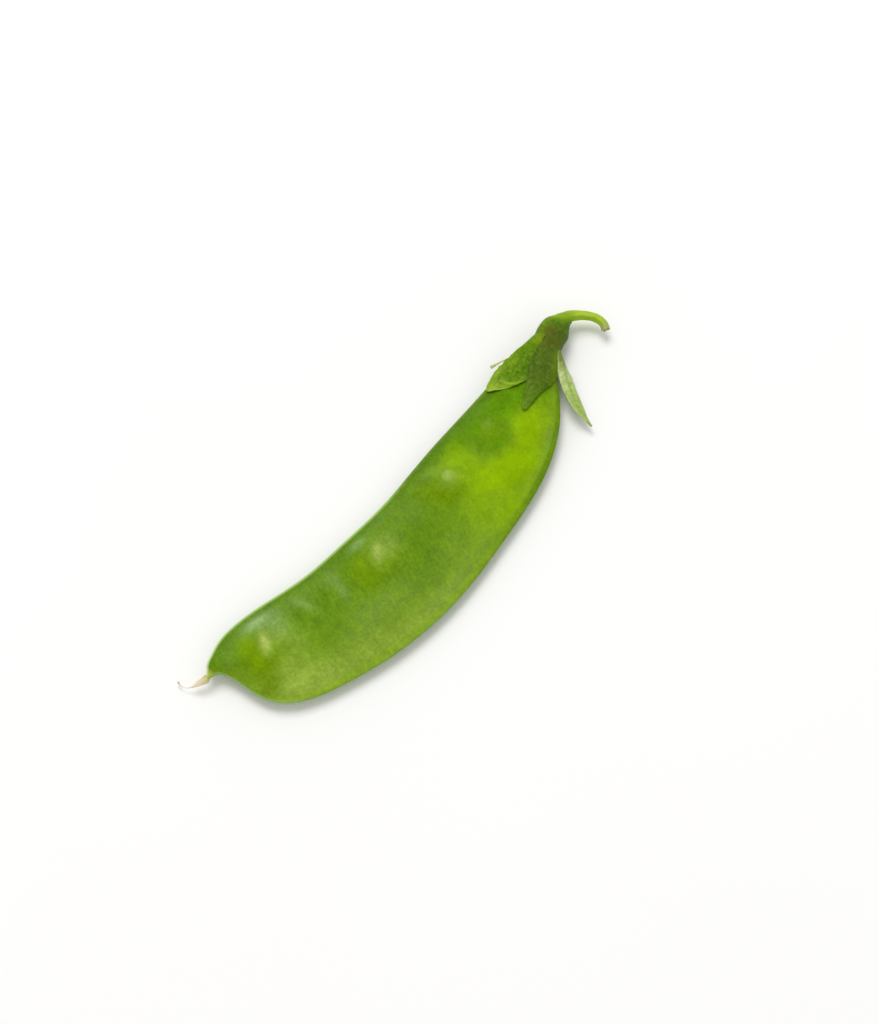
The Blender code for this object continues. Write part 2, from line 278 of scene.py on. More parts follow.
def waves(seed, count, low, high, heading=None, spread=180.0):
    """A slow random surface: plane waves with lengths from low to high mm."""
    rng = np.random.default_rng(seed)
    length = np.exp(rng.uniform(math.log(low), math.log(high), count))
    turn = rng.uniform(-1, 1, count) * math.radians(spread)
    turn += math.radians(heading or 0.0)
    phase = rng.uniform(0, 2 * math.pi, count)

    def field(p, q):
        total = np.zeros(np.broadcast(p, q).shape)
        for wave, a, f in zip(length, turn, phase):
            total += np.sin(
                2 * math.pi * (p * math.cos(a) + q * math.sin(a)) / wave + f
            )
        return total / math.sqrt(count / 2)

    return field


# ---------------------------------------------------------------- mesh making
def build(name, points, faces, layers=None):
    """A smooth mesh object from points in mm, its faces turned outwards."""
    points = (np.asarray(points, float) + SHIFT) * MM
    mesh = bpy.data.meshes.new(name)
    mesh.from_pydata(points.tolist(), [], [tuple(int(i) for i in f) for f in faces])
    mesh.update()
    for layer, values in (layers or {}).items():
        data = mesh.attributes.new(layer, "FLOAT", "POINT")
        data.data.foreach_set("value", np.asarray(values, np.float32).ravel())
    mesh.calc_loop_triangles()
    tri = np.zeros(len(mesh.loop_triangles) * 3, np.int32)
    mesh.loop_triangles.foreach_get("vertices", tri)
    a, b, c = (points[tri.reshape(-1, 3)[:, i]] for i in range(3))
    if np.einsum("ij,ij->i", a, np.cross(b, c)).sum() < 0:
        mesh.flip_normals()
    obj = bpy.data.objects.new(name, mesh)
    bpy.context.scene.collection.objects.link(obj)
    mesh.shade_smooth()
    return obj


def ring_faces(rings, turns, start=0):
    """Quads of a tube of rings, one ring after another."""
    i = np.arange(rings - 1)[:, None] * turns
    j = np.arange(turns)[None, :]
    k = (j + 1) % turns
    quad = np.stack([i + j, i + turns + j, i + turns + k, i + k], axis=-1)
    return (quad.reshape(-1, 4) + start).tolist()


def closed_tube(rings, layers):
    """Rings with a centre point at each end: points, faces and layers."""
    n, m = rings.shape[:2]
    points = rings.reshape(-1, 3)
    ends = np.array([rings[0].mean(0), rings[-1].mean(0)])
    faces = ring_faces(n, m)
    first, last = n * m, n * m + 1
    for j in range(m):
        k = (j + 1) % m
        faces.append((first, j, k))
        faces.append((last, (n - 1) * m + k, (n - 1) * m + j))
    out = {
        key: np.concatenate([v.ravel(), [v[0].mean(), v[-1].mean()]])
        for key, v in layers.items()
    }
    return np.vstack([points, ends]), faces, out


def blade(name, middle, thickness, layers):
    """A thin closed sheet round a grid of points, with its margin closed."""
    n, m = middle.shape[:2]
    along = np.gradient(middle, axis=0)
    across = np.gradient(middle, axis=1)
    normal = unit(np.cross(along, across))
    half = thickness[..., None] / 2
    front, back = middle + normal * half, middle - normal * half
    points = np.vstack([front.reshape(-1, 3), back.reshape(-1, 3)])
    faces = []
    o = n * m
    for i in range(n - 1):
        for j in range(m - 1):
            a, b, c, d = i * m + j, i * m + j + 1, (i + 1) * m + j + 1, (i + 1) * m + j
            faces.append((a, b, c, d))
            faces.append((o + d, o + c, o + b, o + a))
    edge = [i * m for i in range(n)]
    edge += [(n - 1) * m + j for j in range(1, m)]
    edge += [i * m + m - 1 for i in range(n - 2, -1, -1)]
    edge += [j for j in range(m - 2, 0, -1)]
    for a, b in zip(edge, edge[1:] + edge[:1]):
        faces.append((a, b, o + b, o + a))
    both = {key: np.concatenate([v.ravel(), v.ravel()]) for key, v in layers.items()}
    return build(name, points, faces, both)


def frames_along(centre):
    """Two axes square to a line at each of its points, turning as little as can be."""
    tangent = unit(np.gradient(centre, axis=0))
    side = np.cross(tangent[0], (0, 0, 1.0))
    side = side / np.linalg.norm(side)
    sides = []
    for t in tangent:
        side = side - t * (side @ t)
        side = side / np.linalg.norm(side)
        sides.append(side)
    sides = np.array(sides)
    return tangent, sides, np.cross(sides, tangent)


def strand_rings(centre, radius, turns, shape=None, twist=None):
    """Rings round a line; shape(ring number, angles) scales the radius."""
    tangent, side, lift = frames_along(centre)
    angle = np.arange(turns) * 2 * math.pi / turns
    rings = []
    for k in range(len(centre)):
        a = angle + (twist[k] if twist is not None else 0.0)
        r = radius[k] * (shape(k, angle) if shape else np.ones(turns))
        if r.ndim == 2:
            p, q = r
        else:
            p, q = r * np.cos(angle), r * np.sin(angle)
        turn = a[0] - angle[0]
        x = p * math.cos(turn) - q * math.sin(turn)
        y = p * math.sin(turn) + q * math.cos(turn)
        rings.append(centre[k] + x[:, None] * side[k] + y[:, None] * lift[k])
    return np.array(rings)


# ---------------------------------------------------------------- the pod's skin
slow_top = waves(11, 14, 9.0, 20.0)
slow_under = waves(12, 14, 9.0, 20.0)
ripple = waves(13, 22, 3.2, 7.0)
crease = waves(14, 26, 1.3, 3.4, 0.0, 24.0)
crease_gate = waves(15, 10, 5.0, 12.0)
fine_grain = waves(16, 30, 0.9, 1.9)


def pod_skin(samples, turns, detail):
    """Rings round the pod, with each point's distances from the two seams."""
    row = natural_spline(STATIONS, samples)
    inner, outer, thick, plane = row[:, 0:2], row[:, 2:4], row[:, 4], row[:, 5]
    middle, half = (inner + outer) / 2, (inner - outer) / 2
    width = np.linalg.norm(half, axis=1)[:, None]
    thick, plane = thick[:, None], plane[:, None]
    angle = np.arange(turns) * 2 * math.pi / turns
    u = np.cos(angle)[None, :]
    upper = (np.sin(angle) >= 0)[None, :]
    xy = middle[:, None, :] + u[..., None] * half[:, None, :]
    edge = width * (1 - np.abs(u))
    inner_side = u > 0
    most = np.where(inner_side, 0.50, 0.42)
    cord_r = np.minimum(most, np.minimum(width * 0.45, thick * 0.8))
    tuck = np.where(inner_side, 0.20, 0.02) * smooth(width, 1.5, 4.0)
    flank = np.clip(np.abs(u) * width / np.maximum(width - tuck, 0.15), 0, 1)
    lens = thick * (1 - flank**2) ** np.where(inner_side, 0.76, 0.72)
    cord = np.sqrt(
        np.clip(cord_r**2 - (np.clip(edge, 0, 2 * cord_r) - cord_r) ** 2, 0, None)
    )
    k = np.where(inner_side, 0.14, 0.26)
    wall = 0.5 * (lens + cord + np.sqrt((lens - cord) ** 2 + k * k))
    wall -= k / 2 * np.exp(-edge / 0.18)
    wall = np.where(edge < 1e-6, 0.0, wall)
    length = np.concatenate(
        [[0], np.cumsum(np.linalg.norm(np.diff(middle, axis=0), axis=1))]
    )[:, None] + np.zeros_like(u)
    across = u * width
    x, y = xy[..., 0], xy[..., 1]
    swell = np.zeros_like(x)
    for sx, sy, h, reach in SEEDS:
        d = np.hypot(x - sx, y - sy) / reach
        swell += h * np.exp(-(d**2.5))
    full = smooth(edge, 0.5, 2.6) * smooth(thick, 0.7, 1.8)
    swell *= full
    z_up, z_down = plane + wall + swell, plane - wall - 0.8 * swell
    if detail:
        near_inner = smooth(across, -4.0, 4.0)
        gate = smooth(crease_gate(length, across), -0.6, 1.2)
        band = smooth(x, -36, -31) * smooth(x, -4, -10)
        z_up += full * (0.075 * slow_top(length, across) + 0.026 * ripple(length, across))
        z_up += full * (0.004 + 0.026 * band * near_inner * gate) * crease(length, across)
        z_up += full * 0.0045 * fine_grain(length, across)
        z_up += 0.16 * spot(x, y, 10.3, -4.8, 0.95, 0.85)
        z_down -= full * (
            0.06 * slow_under(length, across) + 0.02 * ripple(length + 40, across)
        )
        z_down -= full * 0.005 * crease(length + 23, across)
        # the fine line where the two walls meet along the seed-bearing seam
        notch = 0.07 * np.exp(-((wall / 0.10) ** 2)) * (u > 0) * smooth(width, 1.5, 4.0)
        xy = xy - notch[..., None] * unit(half)[:, None, :]
        xy_wave = 0.022 * slow_top(length, 0 * length) * smooth(width, 1.5, 4.0)
        xy = xy + (xy_wave * u**9)[..., None] * unit(half)[:, None, :]
    z = np.where(upper, z_up, z_down)
    soft = np.clip(z + REST_K, 0, None) ** 2 / (4 * REST_K)
    z = np.where(z < REST_K, soft, z)
    points = np.dstack([xy, z])
    facts = {
        "edge": edge,
        "u": u + np.zeros_like(edge),
        "across": across,
        "length": length,
        "swell": swell,
        "upper": upper + np.zeros_like(edge),
        "wall": wall,
    }
    return points, facts


def skin_line(station, height):
    """The pod's outline at a station, moved outwards by height, with its length
    counted from the inner seam: positive over the upper wall."""
    ring = pod_skin(np.array([station]), 256, False)[0][0]
    ring = np.roll(ring, 128, axis=0)
    along = ring[128] - ring[0]
    along[2] = 0
    along /= np.linalg.norm(along)
    w = ring @ along
    tw, tz = np.gradient(w), np.gradient(ring[:, 2])
    size = np.hypot(tw, tz) + 1e-9
    out = (tz / size)[:, None] * along + (-tw / size)[:, None] * np.array((0, 0, 1.0))
    moved = ring + height * out
    step = np.linalg.norm(np.diff(moved, axis=0), axis=1)
    length = np.concatenate([[0], np.cumsum(step)])
    return moved, length - length[128], out


def make_pod():
    last = len(STATIONS) - 1
    turns = 204
    samples = np.linspace(0, last, 452)
    points, facts = pod_skin(samples, turns, True)
    centre0, centre1 = points[0].mean(0), points[-1].mean(0)
    axis0 = unit(centre0 - points[6].mean(0))
    axis1 = unit(centre1 - points[-6].mean(0))
    domes0, domes1 = [], []
    for f in np.linspace(0, 90, 8)[1:]:
        c, s = math.cos(math.radians(f)) + 0.02, math.sin(math.radians(f))
        domes0.append(centre0 + (points[0] - centre0) * c + axis0 * 0.42 * s)
        domes1.append(centre1 + (points[-1] - centre1) * c + axis1 * 0.5 * s)
    rings = np.concatenate([np.array(domes0)[::-1], points, np.array(domes1)])

    def extend(v):
        return np.concatenate([np.repeat(v[:1], 7, 0), v, np.repeat(v[-1:], 7, 0)])

    facts = {key: extend(v) for key, v in facts.items()}
    x, y = rings[..., 0] + SHIFT[0], rings[..., 1] + SHIFT[1]
    edge, u = facts["edge"], facts["u"]
    inner_side, outer_side = (u > 0) * 1.0, (u < 0) * 1.0
    thin = smooth(edge, 0.1, 1.2)

    layers = {}
    # the seed-bearing seam: painted highlight along its ridge, a pale line on the lower half, and painted shade
    # in a dark strip beside it; a fainter painted highlight runs along the far seam towards the beak
    layers["cord"] = (
        smooth(edge, 0.72, 0.24)
        * (0.55 + 0.45 * smooth(edge, 0.0, 0.22))
        * inner_side
        * (0.12 + 0.88 * smooth(x, 5, -6))
        + 0.18 * smooth(edge, 0.55, 0.25) * outer_side * smooth(x, 4, -10) * smooth(x, -34, -26)
        + 0.60 * smooth(edge, 0.50, 0.20) * outer_side * smooth(x, -34, -39)
    )
    # painted highlight along the seam's edge at the beak
    layers["beak_edge_highlight"] = smooth(edge, 0.60, 0.15) * inner_side * smooth(x, -37, -42)
    layers["band"] = inner_side * (
        smooth(edge, 2.3, 0.8) * smooth(x, -2, 7) * smooth(x, 37, 30)
        + 0.65 * smooth(edge, 0.4, 0.8) * smooth(edge, 2.4, 1.0) * smooth(x, 4, -4)
    )
    # the far seam: painted shade, a dull olive strip along it, strongest on the upper half
    layers["far_seam_shade"] = outer_side * (
        smooth(edge, 1.45, 0.75) * smooth(x, 8, 19)
        + 0.30 * smooth(edge, 0.7, 0.2) * smooth(x, 18, 4)
    )
    # where the grain is drawn out into short strokes across the pod
    layers["drawn"] = np.clip(
        1.0 * spot(x, y, -4.2, -0.2, 4.6, 4.0, 0, 2.4)
        + 0.7 * spot(x, y, -22.0, 2.6, 9.0, 3.4, -6, 2.4)
        + 0.3,
        0,
        1,
    )
    # how far across the wall, from the seed-bearing seam to the far one; painted light makes the wall lighter
    # towards the far seam
    layers["outer"] = smooth((1 - u) / 2, 0.30, 0.92)
    # painted light: bright yellow-green reaches where light shining through the thin wall is painted in
    disc = spot(x, y, 18.9, 3.4, 3.5, 3.5, 0, 5.0)
    layers["painted_glow"] = thin * (1 - disc) * np.clip(
        0.95 * spot(x, y, 24.2, 0.0, 3.5, 3.2, -20, 3.0)
        + 1.0 * spot(x, y, 17.4, -2.8, 6.2, 2.8, 0, 3.0)
        + 0.75 * spot(x, y, 11.4, -0.8, 3.8, 3.0, 0, 3.0)
        + 0.65 * spot(x, y, 12.2, 4.2, 2.4, 2.9, 10, 3.0)
        + 0.35 * spot(x, y, 28.6, 0.4, 3.0, 2.0, -20, 3.0)
        + 0.30 * spot(x, y, 19.0, -6.3, 4.2, 1.3, 14, 2.4)
        + 0.50 * spot(x, y, 14.0, -6.6, 9.0, 2.6, 8, 2.6)
        + 0.50 * spot(x, y, 7.4, -4.0, 3.4, 2.4, 0, 2.4)
        + 0.40 * spot(x, y, 11.2, -8.8, 4.4, 1.6, 20, 2.4)
        + 0.50 * spot(x, y, 8.8, 5.2, 2.4, 1.6, 0, 2.4)
        + 0.45 * spot(x, y, 8.6, 2.0, 1.9, 1.4, 0, 2.4)
        + 0.30 * spot(x, y, 27.6, -2.6, 1.8, 1.1, 30, 2.4)
        + 0.15 * spot(x, y, 5.0, -8.6, 8.0, 2.2, 8, 2.4)
        + 0.45 * spot(x, y, -36.4, 7.6, 2.4, 1.6, 30, 2.4),
        0,
        1,
    )
    # painted light along the far seam on the beak half
    layers["painted_glow"] += 0.40 * outer_side * smooth(edge, 1.9, 0.5) * smooth(x, 8, -4) * smooth(x, -42, -38)
    # painted sheen: greyer, cooler patches of soft reflection, and light strokes on the lit sides of the
    # shallow creases
    layers["cool_sheen"] = thin * np.clip(
        0.35 * spot(x, y, -24.5, 6.8, 8.0, 1.8, -8, 2.6)
        + 0.75 * spot(x, y, -25.0, 5.0, 0.8, 2.2, 14, 2.2)
        + 0.85 * spot(x, y, -18.8, 3.0, 0.9, 2.9, -16, 2.2)
        + 0.60 * spot(x, y, -30.4, 4.6, 1.5, 2.2, 10, 2.2)
        + 0.45 * spot(x, y, -18.0, -4.8, 8.0, 2.8, -8, 2.4)
        + 0.25 * spot(x, y, 5.0, 6.6, 3.0, 1.2, 8, 2.4)
        + 0.40 * spot(x, y, -2.4, 3.4, 4.4, 2.4, 0, 2.4)
        + 0.30 * spot(x, y, -4.0, -6.0, 6.0, 3.0, 0, 2.4)
        + 0.40 * spot(x, y, 0.6, -9.8, 7.0, 1.9, 10, 2.4)
        + 0.50 * spot(x, y, -9.0, -11.4, 7.0, 1.9, 0, 2.4)
        + 0.55 * spot(x, y, 18.5, -6.9, 8.0, 1.3, 14, 2.6)
        + 0.45 * spot(x, y, 25.6, -4.2, 3.4, 1.1, 40, 2.6)
        + 0.25 * spot(x, y, 19.0, 7.6, 4.6, 1.0, 2, 2.6)
        + 0.35 * spot(x, y, -39.6, 8.2, 2.4, 1.6, 30, 2.4),
        0,
        1,
    )
    # the seeds show as olive patches under the skin
    layers["olive"] = thin * np.clip(
        1.0 * spot(x, y, -37.0, 3.6, 2.8, 4.4, -25, 3.0)
        + 0.40 * spot(x, y, -33.6, 2.0, 1.8, 2.4, -25, 2.4)
        + 0.50 * spot(x, y, -43.2, 7.8, 1.0, 1.2, 0, 2.4)
        + 0.55 * spot(x, y, -39.2, -1.2, 2.2, 1.8, 0, 2.4)
        + 0.85 * spot(x, y, -13.8, 1.7, 2.6, 3.6, -30, 3.0)
        + 0.60 * spot(x, y, -9.8, -0.4, 3.0, 1.8, 0, 2.4)
        + 0.62 * spot(x, y, 4.1, 3.4, 3.3, 2.8, -46, 3.2)
        + 0.60 * spot(x, y, 6.0, 0.6, 2.6, 1.8, 0, 2.8)
        + 0.55 * spot(x, y, 19.0, 3.4, 2.4, 2.4, 0, 3.0),
        0,
        1,
    )
    # deep green: the fourth seed's disc under the skin and other deep reaches, with painted shade next to the
    # side lobe's tip and edge
    layers["deep_green_and_shade"] = thin * np.clip(
        1.0 * spot(x, y, 25.2, 6.0, 5.4, 2.8, -10, 2.8)
        + 0.80 * spot(x, y, 15.0, 7.2, 4.6, 1.7, 2, 2.6)
        + 0.90 * spot(x, y, 24.2, 4.0, 2.2, 1.5, -20, 2.6)
        + 0.95 * (disc - 0.40 * spot(x, y, 19.2, 3.8, 2.3, 2.3, 0, 3.0))
        + 0.45 * spot(x, y, 29.8, 1.4, 1.6, 1.6, 0, 2.4)
        + 0.5 * spot(x, y, 31.5, 4.0, 3.0, 3.0, 0, 2.6)
        + 0.25 * spot(x, y, -42.4, 7.6, 1.2, 1.4, 0, 2.4),
        0,
        1,
    )
    # shallow creases across the pod, and duller reaches between the seeds
    layers["shade"] = thin * np.clip(
        0.75 * spot(x, y, -6.0, -4.6, 4.8, 3.2, 10, 2.4)
        + 0.90 * spot(x, y, -3.6, 0.8, 3.6, 3.4, 0, 2.4)
        + 0.95 * spot(x, y, 4.1, 3.5, 3.2, 2.7, -46, 3.0)
        + 0.60 * spot(x, y, -13.8, 1.7, 2.8, 3.8, -30, 3.0)
        + 0.30 * spot(x, y, -17.6, -6.4, 4.4, 2.2, -10, 2.4)
        + 0.85 * spot(x, y, -27.0, 4.6, 1.0, 2.8, 14, 2.4)
        + 0.52 * spot(x, y, -23.2, 0.0, 1.1, 4.2, 3, 2.4)
        + 0.55 * spot(x, y, -21.4, 4.2, 0.9, 2.4, 0, 2.2)
        + 0.35 * spot(x, y, -16.4, 0.2, 1.0, 3.4, -8, 2.2)
        + 0.30 * spot(x, y, -26.6, -1.4, 2.4, 2.0, -20, 2.4)
        + 0.30 * spot(x, y, -41.0, 5.6, 2.6, 3.0, 0, 2.4),
        0,
        1,
    )
    # painted highlight: pale patches on the seed swellings' upper sides, and a round one on the small bump by
    # the third seed
    layers["pale"] = thin * np.clip(
        1.0 * spot(x, y, -34.4, 5.1, 0.85, 1.9, -31, 2.2)
        + 0.36 * spot(x, y, -32.4, 4.8, 2.4, 1.8, -20, 2.0)
        + 0.55 * spot(x, y, -10.3, 2.5, 0.7, 2.0, -40, 2.0)
        + 0.42 * spot(x, y, -8.6, 2.4, 2.6, 2.3, 0, 2.0)
        + 0.12 * spot(x, y, 7.6, 5.2, 2.6, 1.6, 0, 2.0)
        + 0.72 * spot(x, y, 8.05, 3.55, 0.98, 0.94, 0, 4.0)
        + 0.26 * spot(x, y, 8.0, 2.4, 1.8, 1.2, 0, 2.0)
        + 0.22 * spot(x, y, 19.6, 5.2, 1.1, 0.8, 0, 2.0),
        0,
        1,
    )
    # lighter, whiter belly: a waxy bloom with painted bounce light from the floor over it
    layers["bloom_and_bounce_light"] = np.clip(
        1.0 * spot(x, y, -35.0, -4.8, 7.8, 4.2, -38, 2.6)
        + 0.35 * spot(x, y, -30.8, 1.0, 2.6, 2.4, 0, 2.4)
        + 0.40 * spot(x, y, -34.2, 0.8, 1.8, 1.8, 0, 2.4)
        + 0.58 * spot(x, y, -22.0, -8.8, 9.0, 2.8, -14, 2.6)
        + 0.4 * spot(x, y, -9.0, -11.0, 9.0, 2.4, -4, 2.6)
        + 0.15 * spot(x, y, -17.5, -5.0, 6.0, 3.0, 0, 2.6),
        0,
        1,
    )
    sheen = (
        1.40 * spot(x, y, -32.8, 9.0, 2.8, 1.3, -10, 2.0)
        + 0.42 * spot(x, y, -30.6, 6.6, 2.2, 2.0, -18, 2.0)
        + 0.12 * spot(x, y, -25.2, 5.8, 0.9, 2.4, 10, 2.0)
        + 0.12 * spot(x, y, -19.4, 5.0, 0.9, 2.4, -14, 2.0)
        + 0.75 * spot(x, y, -11.3, 6.4, 1.7, 0.9, 0, 2.0)
        + 0.20 * spot(x, y, -6.0, 7.0, 3.6, 1.2, 0, 2.0)
    )
    layers["sheen"] = np.clip(sheen, 0, 1.6) * smooth(edge, 0.2, 0.9) * inner_side
    layers["beak"] = smooth(x, -43.4, -44.5)
    layers["neck"] = smooth(x, 34.5, 38.5)
    pts, faces, out = closed_tube(rings, layers)
    return build("pod_skin", pts, faces, out)


# ---------------------------------------------------------------- the calyx
def cup_frame(tangent):
    t = unit(tangent)
    across = unit(np.cross((0, 0, 1.0), t))
    return across, np.cross(t, across)


def mouth_point(degrees, inset, before):
    """A point at the cup's rim, before it along the cup's axis."""
    row = natural_spline(CUP, (0.0, 0.2))
    axis = unit(row[1, 0:3] - row[0, 0:3])
    across, up = cup_frame(axis)
    a = math.radians(degrees)
    r = row[0, 3] - inset
    return row[0, 0:3] - before * axis + r * (math.cos(a) * across + math.sin(a) * up)


def nerve_mask(v, half, places, width):
    """Long nerves of a lobe: 1 on a nerve, for a lobe this wide in mm."""
    total = np.zeros(np.broadcast(v, half).shape)
    for p in places:
        d = (v - p) * half
        total = np.maximum(total, np.exp(-((d / width) ** 2)))
    return total


def lobe_on_pod(name, base, rows, seed, along=120, across=56):
    """A lobe that grows from the cup's wall and lies along the pod."""
    degrees, half_angle = base
    table = natural_spline(rows, np.linspace(0, len(rows) - 1, along))
    v = np.sin(np.linspace(-1, 1, across) * math.pi / 2 * 0.92) / math.sin(
        math.pi / 2 * 0.92
    )
    teeth = waves(seed, 9, 0.8, 2.6)
    billow = waves(seed + 1, 8, 3.0, 6.0)
    grid, wide, thick, where = [], [], [], []
    for before, inset in ((-2.1, 0.42), (-1.6, 0.34), (-1.1, 0.24), (-0.6, 0.16), (-0.15, 0.12)):
        grid.append([mouth_point(degrees + s * half_angle, inset, before) for s in v])
        wide.append(2.0)
        thick.append(0.30)
        where.append(0.0)
    run = 0.0
    for k, (station, middle, half, height) in enumerate(table):
        lift = 0.14 + 0.17 + max(height, 0)
        line, length, out = skin_line(station, lift)
        t = smooth(k / along, 0.0, 0.30)
        run += 14.0 / along
        free = smooth(k / along, 0.10, 0.45)
        edge_wave = 1 + free * (
            0.035 * teeth(run, 0 * v) * np.sign(v) + 0.03 * teeth(run + 9, 0 * v)
        )
        at = middle + v * half * edge_wave
        on_pod = np.stack([np.interp(at, length, line[:, i]) for i in range(3)], -1)
        normal = unit(np.stack([np.interp(at, length, out[:, i]) for i in range(3)], -1))
        curl = 0.10 * np.abs(v) ** 3 + 0.05 * billow(run, v * half) * (0.3 + np.abs(v))
        curl += 0.06 * (1 - v**2)
        on_pod = on_pod + normal * (np.maximum(curl, -0.04) * free)[:, None]
        rim = np.array(
            [mouth_point(degrees + s * half_angle, 0.10, 0.32) for s in v]
        )
        grid.append(list((1 - t) * rim + t * on_pod))
        wide.append(half)
        thick.append(0.30 - 0.06 * k / along)
        where.append(k / along)
    grid = np.array(grid)
    wide, thick, where = (np.array(a)[:, None] for a in (wide, thick, where))
    vv = v[None, :] + 0 * wide
    nerves = nerve_mask(vv, wide, (0.0,), 0.13) + 0.6 * nerve_mask(
        vv, wide, (-0.66, -0.34, 0.34, 0.66), 0.09
    )
    nerves *= smooth(where, 1.0, 0.8)
    thickness = thick * (1 - 0.62 * np.abs(vv) ** 4) + 0.07 * nerves
    layers = {
        "margin": smooth((1 - np.abs(vv)) * wide, 0.42, 0.05) * smooth(where, 0.08, 0.3),
        "nerve": np.clip(nerves, 0, 1),
        "lengthwise": where + 0 * vv,
        "crosswise": vv,
        **no_marks(grid),
    }
    return blade(name, grid, thickness, layers)


class Neck:
    """Heights of the pod's upper skin and of the cup round the calyx."""

    def __init__(self):
        self.stations = np.linspace(17.0, 25.0, 161)
        rings = pod_skin(self.stations, 256, False)[0][:, :129]
        self.inner = rings[:, 0, :2]
        self.way = unit(rings[:, 128, :2] - self.inner)
        self.steps = np.arange(-4.0, 26.0, 0.1)
        rows = []
        for k in range(len(rings)):
            w = np.linalg.norm(rings[k, :, :2] - self.inner[k], axis=1)
            z, whole = rings[k, :, 2], w[-1]
            row = np.interp(self.steps, w, z)
            low, high = np.interp(0.6, w, z), np.interp(whole - 0.6, w, z)
            row = np.where(self.steps < 0.6, low - 0.3 * (0.6 - self.steps), row)
            past = self.steps - (whole - 0.6)
            rows.append(np.where(past > 0, high - 0.3 * past, row))
        self.table = np.array(rows)
        cup = natural_spline(CUP, np.linspace(0, len(CUP) - 1, 80))
        self.cup_x, self.cup_y, self.cup_r = cup[:, 0], cup[:, 1], cup[:, 3]

    def pod(self, x, y):
        rel = np.stack([x, y], -1)[:, None, :] - self.inner[None]
        ahead = -rel[..., 0] * self.way[:, 1] + rel[..., 1] * self.way[:, 0]
        k = np.clip((ahead > 0).sum(1) - 1, 0, len(self.stations) - 2)
        n = np.arange(len(x))
        a, b = ahead[n, k], ahead[n, k + 1]
        t = np.clip(a / np.where(np.abs(a - b) < 1e-9, 1e-9, a - b), 0, 1)
        deep = (rel * self.way[None]).sum(-1)
        w = deep[n, k] * (1 - t) + deep[n, k + 1] * t
        place = np.clip((w - self.steps[0]) / 0.1, 0, len(self.steps) - 2.001)
        i = place.astype(int)
        f = place - i
        near = self.table[k, i] * (1 - f) + self.table[k, i + 1] * f
        far = self.table[k + 1, i] * (1 - f) + self.table[k + 1, i + 1] * f
        return near * (1 - t) + far * t

    def cup(self, x, y):
        out = np.clip(40.45 - x, 0, None)
        middle = np.interp(x, self.cup_x, self.cup_y) - 0.25 * out
        crown = np.interp(x, self.cup_x, self.cup_r) - 0.27 * out
        spread = np.interp(x, self.cup_x, self.cup_r) + 0.50 * out
        t = np.clip(np.abs(y - middle) / spread, 0, 0.995)
        return 3.15 + crown * np.sqrt(1 - t**2)


def lobe_front(name, neck, edges, seed, above, flare, along=150, across=64):
    """A lobe given by its outline: it leaves the cup and comes down on the pod."""
    row = natural_spline(edges, np.linspace(0, len(edges) - 1, along))
    v = np.sin(np.linspace(-1, 1, across) * math.pi / 2 * 0.92) / math.sin(
        math.pi / 2 * 0.92
    )
    q = np.linspace(0, 1, along)[:, None]
    left, right = row[:, None, 0:2], row[:, None, 2:4]
    wide = np.linalg.norm(row[:, 0:2] - row[:, 2:4], axis=1)[:, None] / 2
    teeth, billow = waves(seed, 10, 0.7, 2.4), waves(seed + 1, 8, 2.6, 6.0)
    run = q * 16.0
    free = smooth(q, 0.22, 0.5)
    nick = free * 0.045 * np.concatenate([teeth(run, 0.0), teeth(run, 31.0)], 1)
    reach = v[None, :] * (1 + np.where(v < 0, nick[:, :1], nick[:, 1:]) / (wide + 0.4))
    share = (1 - reach[..., None]) / 2
    xy = left * share + right * (1 - share)
    x, y = xy[..., 0], xy[..., 1]
    pod = neck.pod(x.ravel(), y.ravel()).reshape(x.shape) + 0.15 + above
    cup = neck.cup(x, y) + (-0.20 + 0.22 * smooth(q, 0.0, 0.12)) + above * smooth(q, 0.1, 0.3)
    z = 0.5 * (cup + pod + np.sqrt((cup - pod) ** 2 + 0.36))
    z = np.where(x > 40.6, cup, z * smooth(x, 40.6, 39.2) + cup * smooth(x, 39.2, 40.6))
    curl = 0.10 * billow(run, reach * wide) * (0.35 + np.abs(v)) + 0.10 * np.abs(v) ** 3
    z = z + free * curl + flare(q, v[None, :])
    grid = np.dstack([xy, z])
    vv = v[None, :] + 0 * wide
    nerves = nerve_mask(vv, wide, (0.0,), 0.12) + 0.55 * nerve_mask(
        vv, wide, (-0.68, -0.36, 0.36, 0.68), 0.08
    )
    nerves *= smooth(q, 1.0, 0.8) * smooth(q, 0.02, 0.2)
    thickness = (0.30 - 0.06 * q) * (1 - 0.62 * np.abs(vv) ** 4) + 0.05 * nerves
    layers = {
        "margin": smooth((1 - np.abs(vv)) * wide, 0.30, 0.03)
        * smooth(q, 0.25, 0.5)
        * (0.22 + 0.78 * smooth(x, 29.9, 28.4)),
        "nerve": np.clip(nerves, 0, 1),
        "lengthwise": q + 0 * vv,
        "crosswise": vv,
        **calyx_marks(grid),
    }
    return blade(name, grid, thickness, layers)


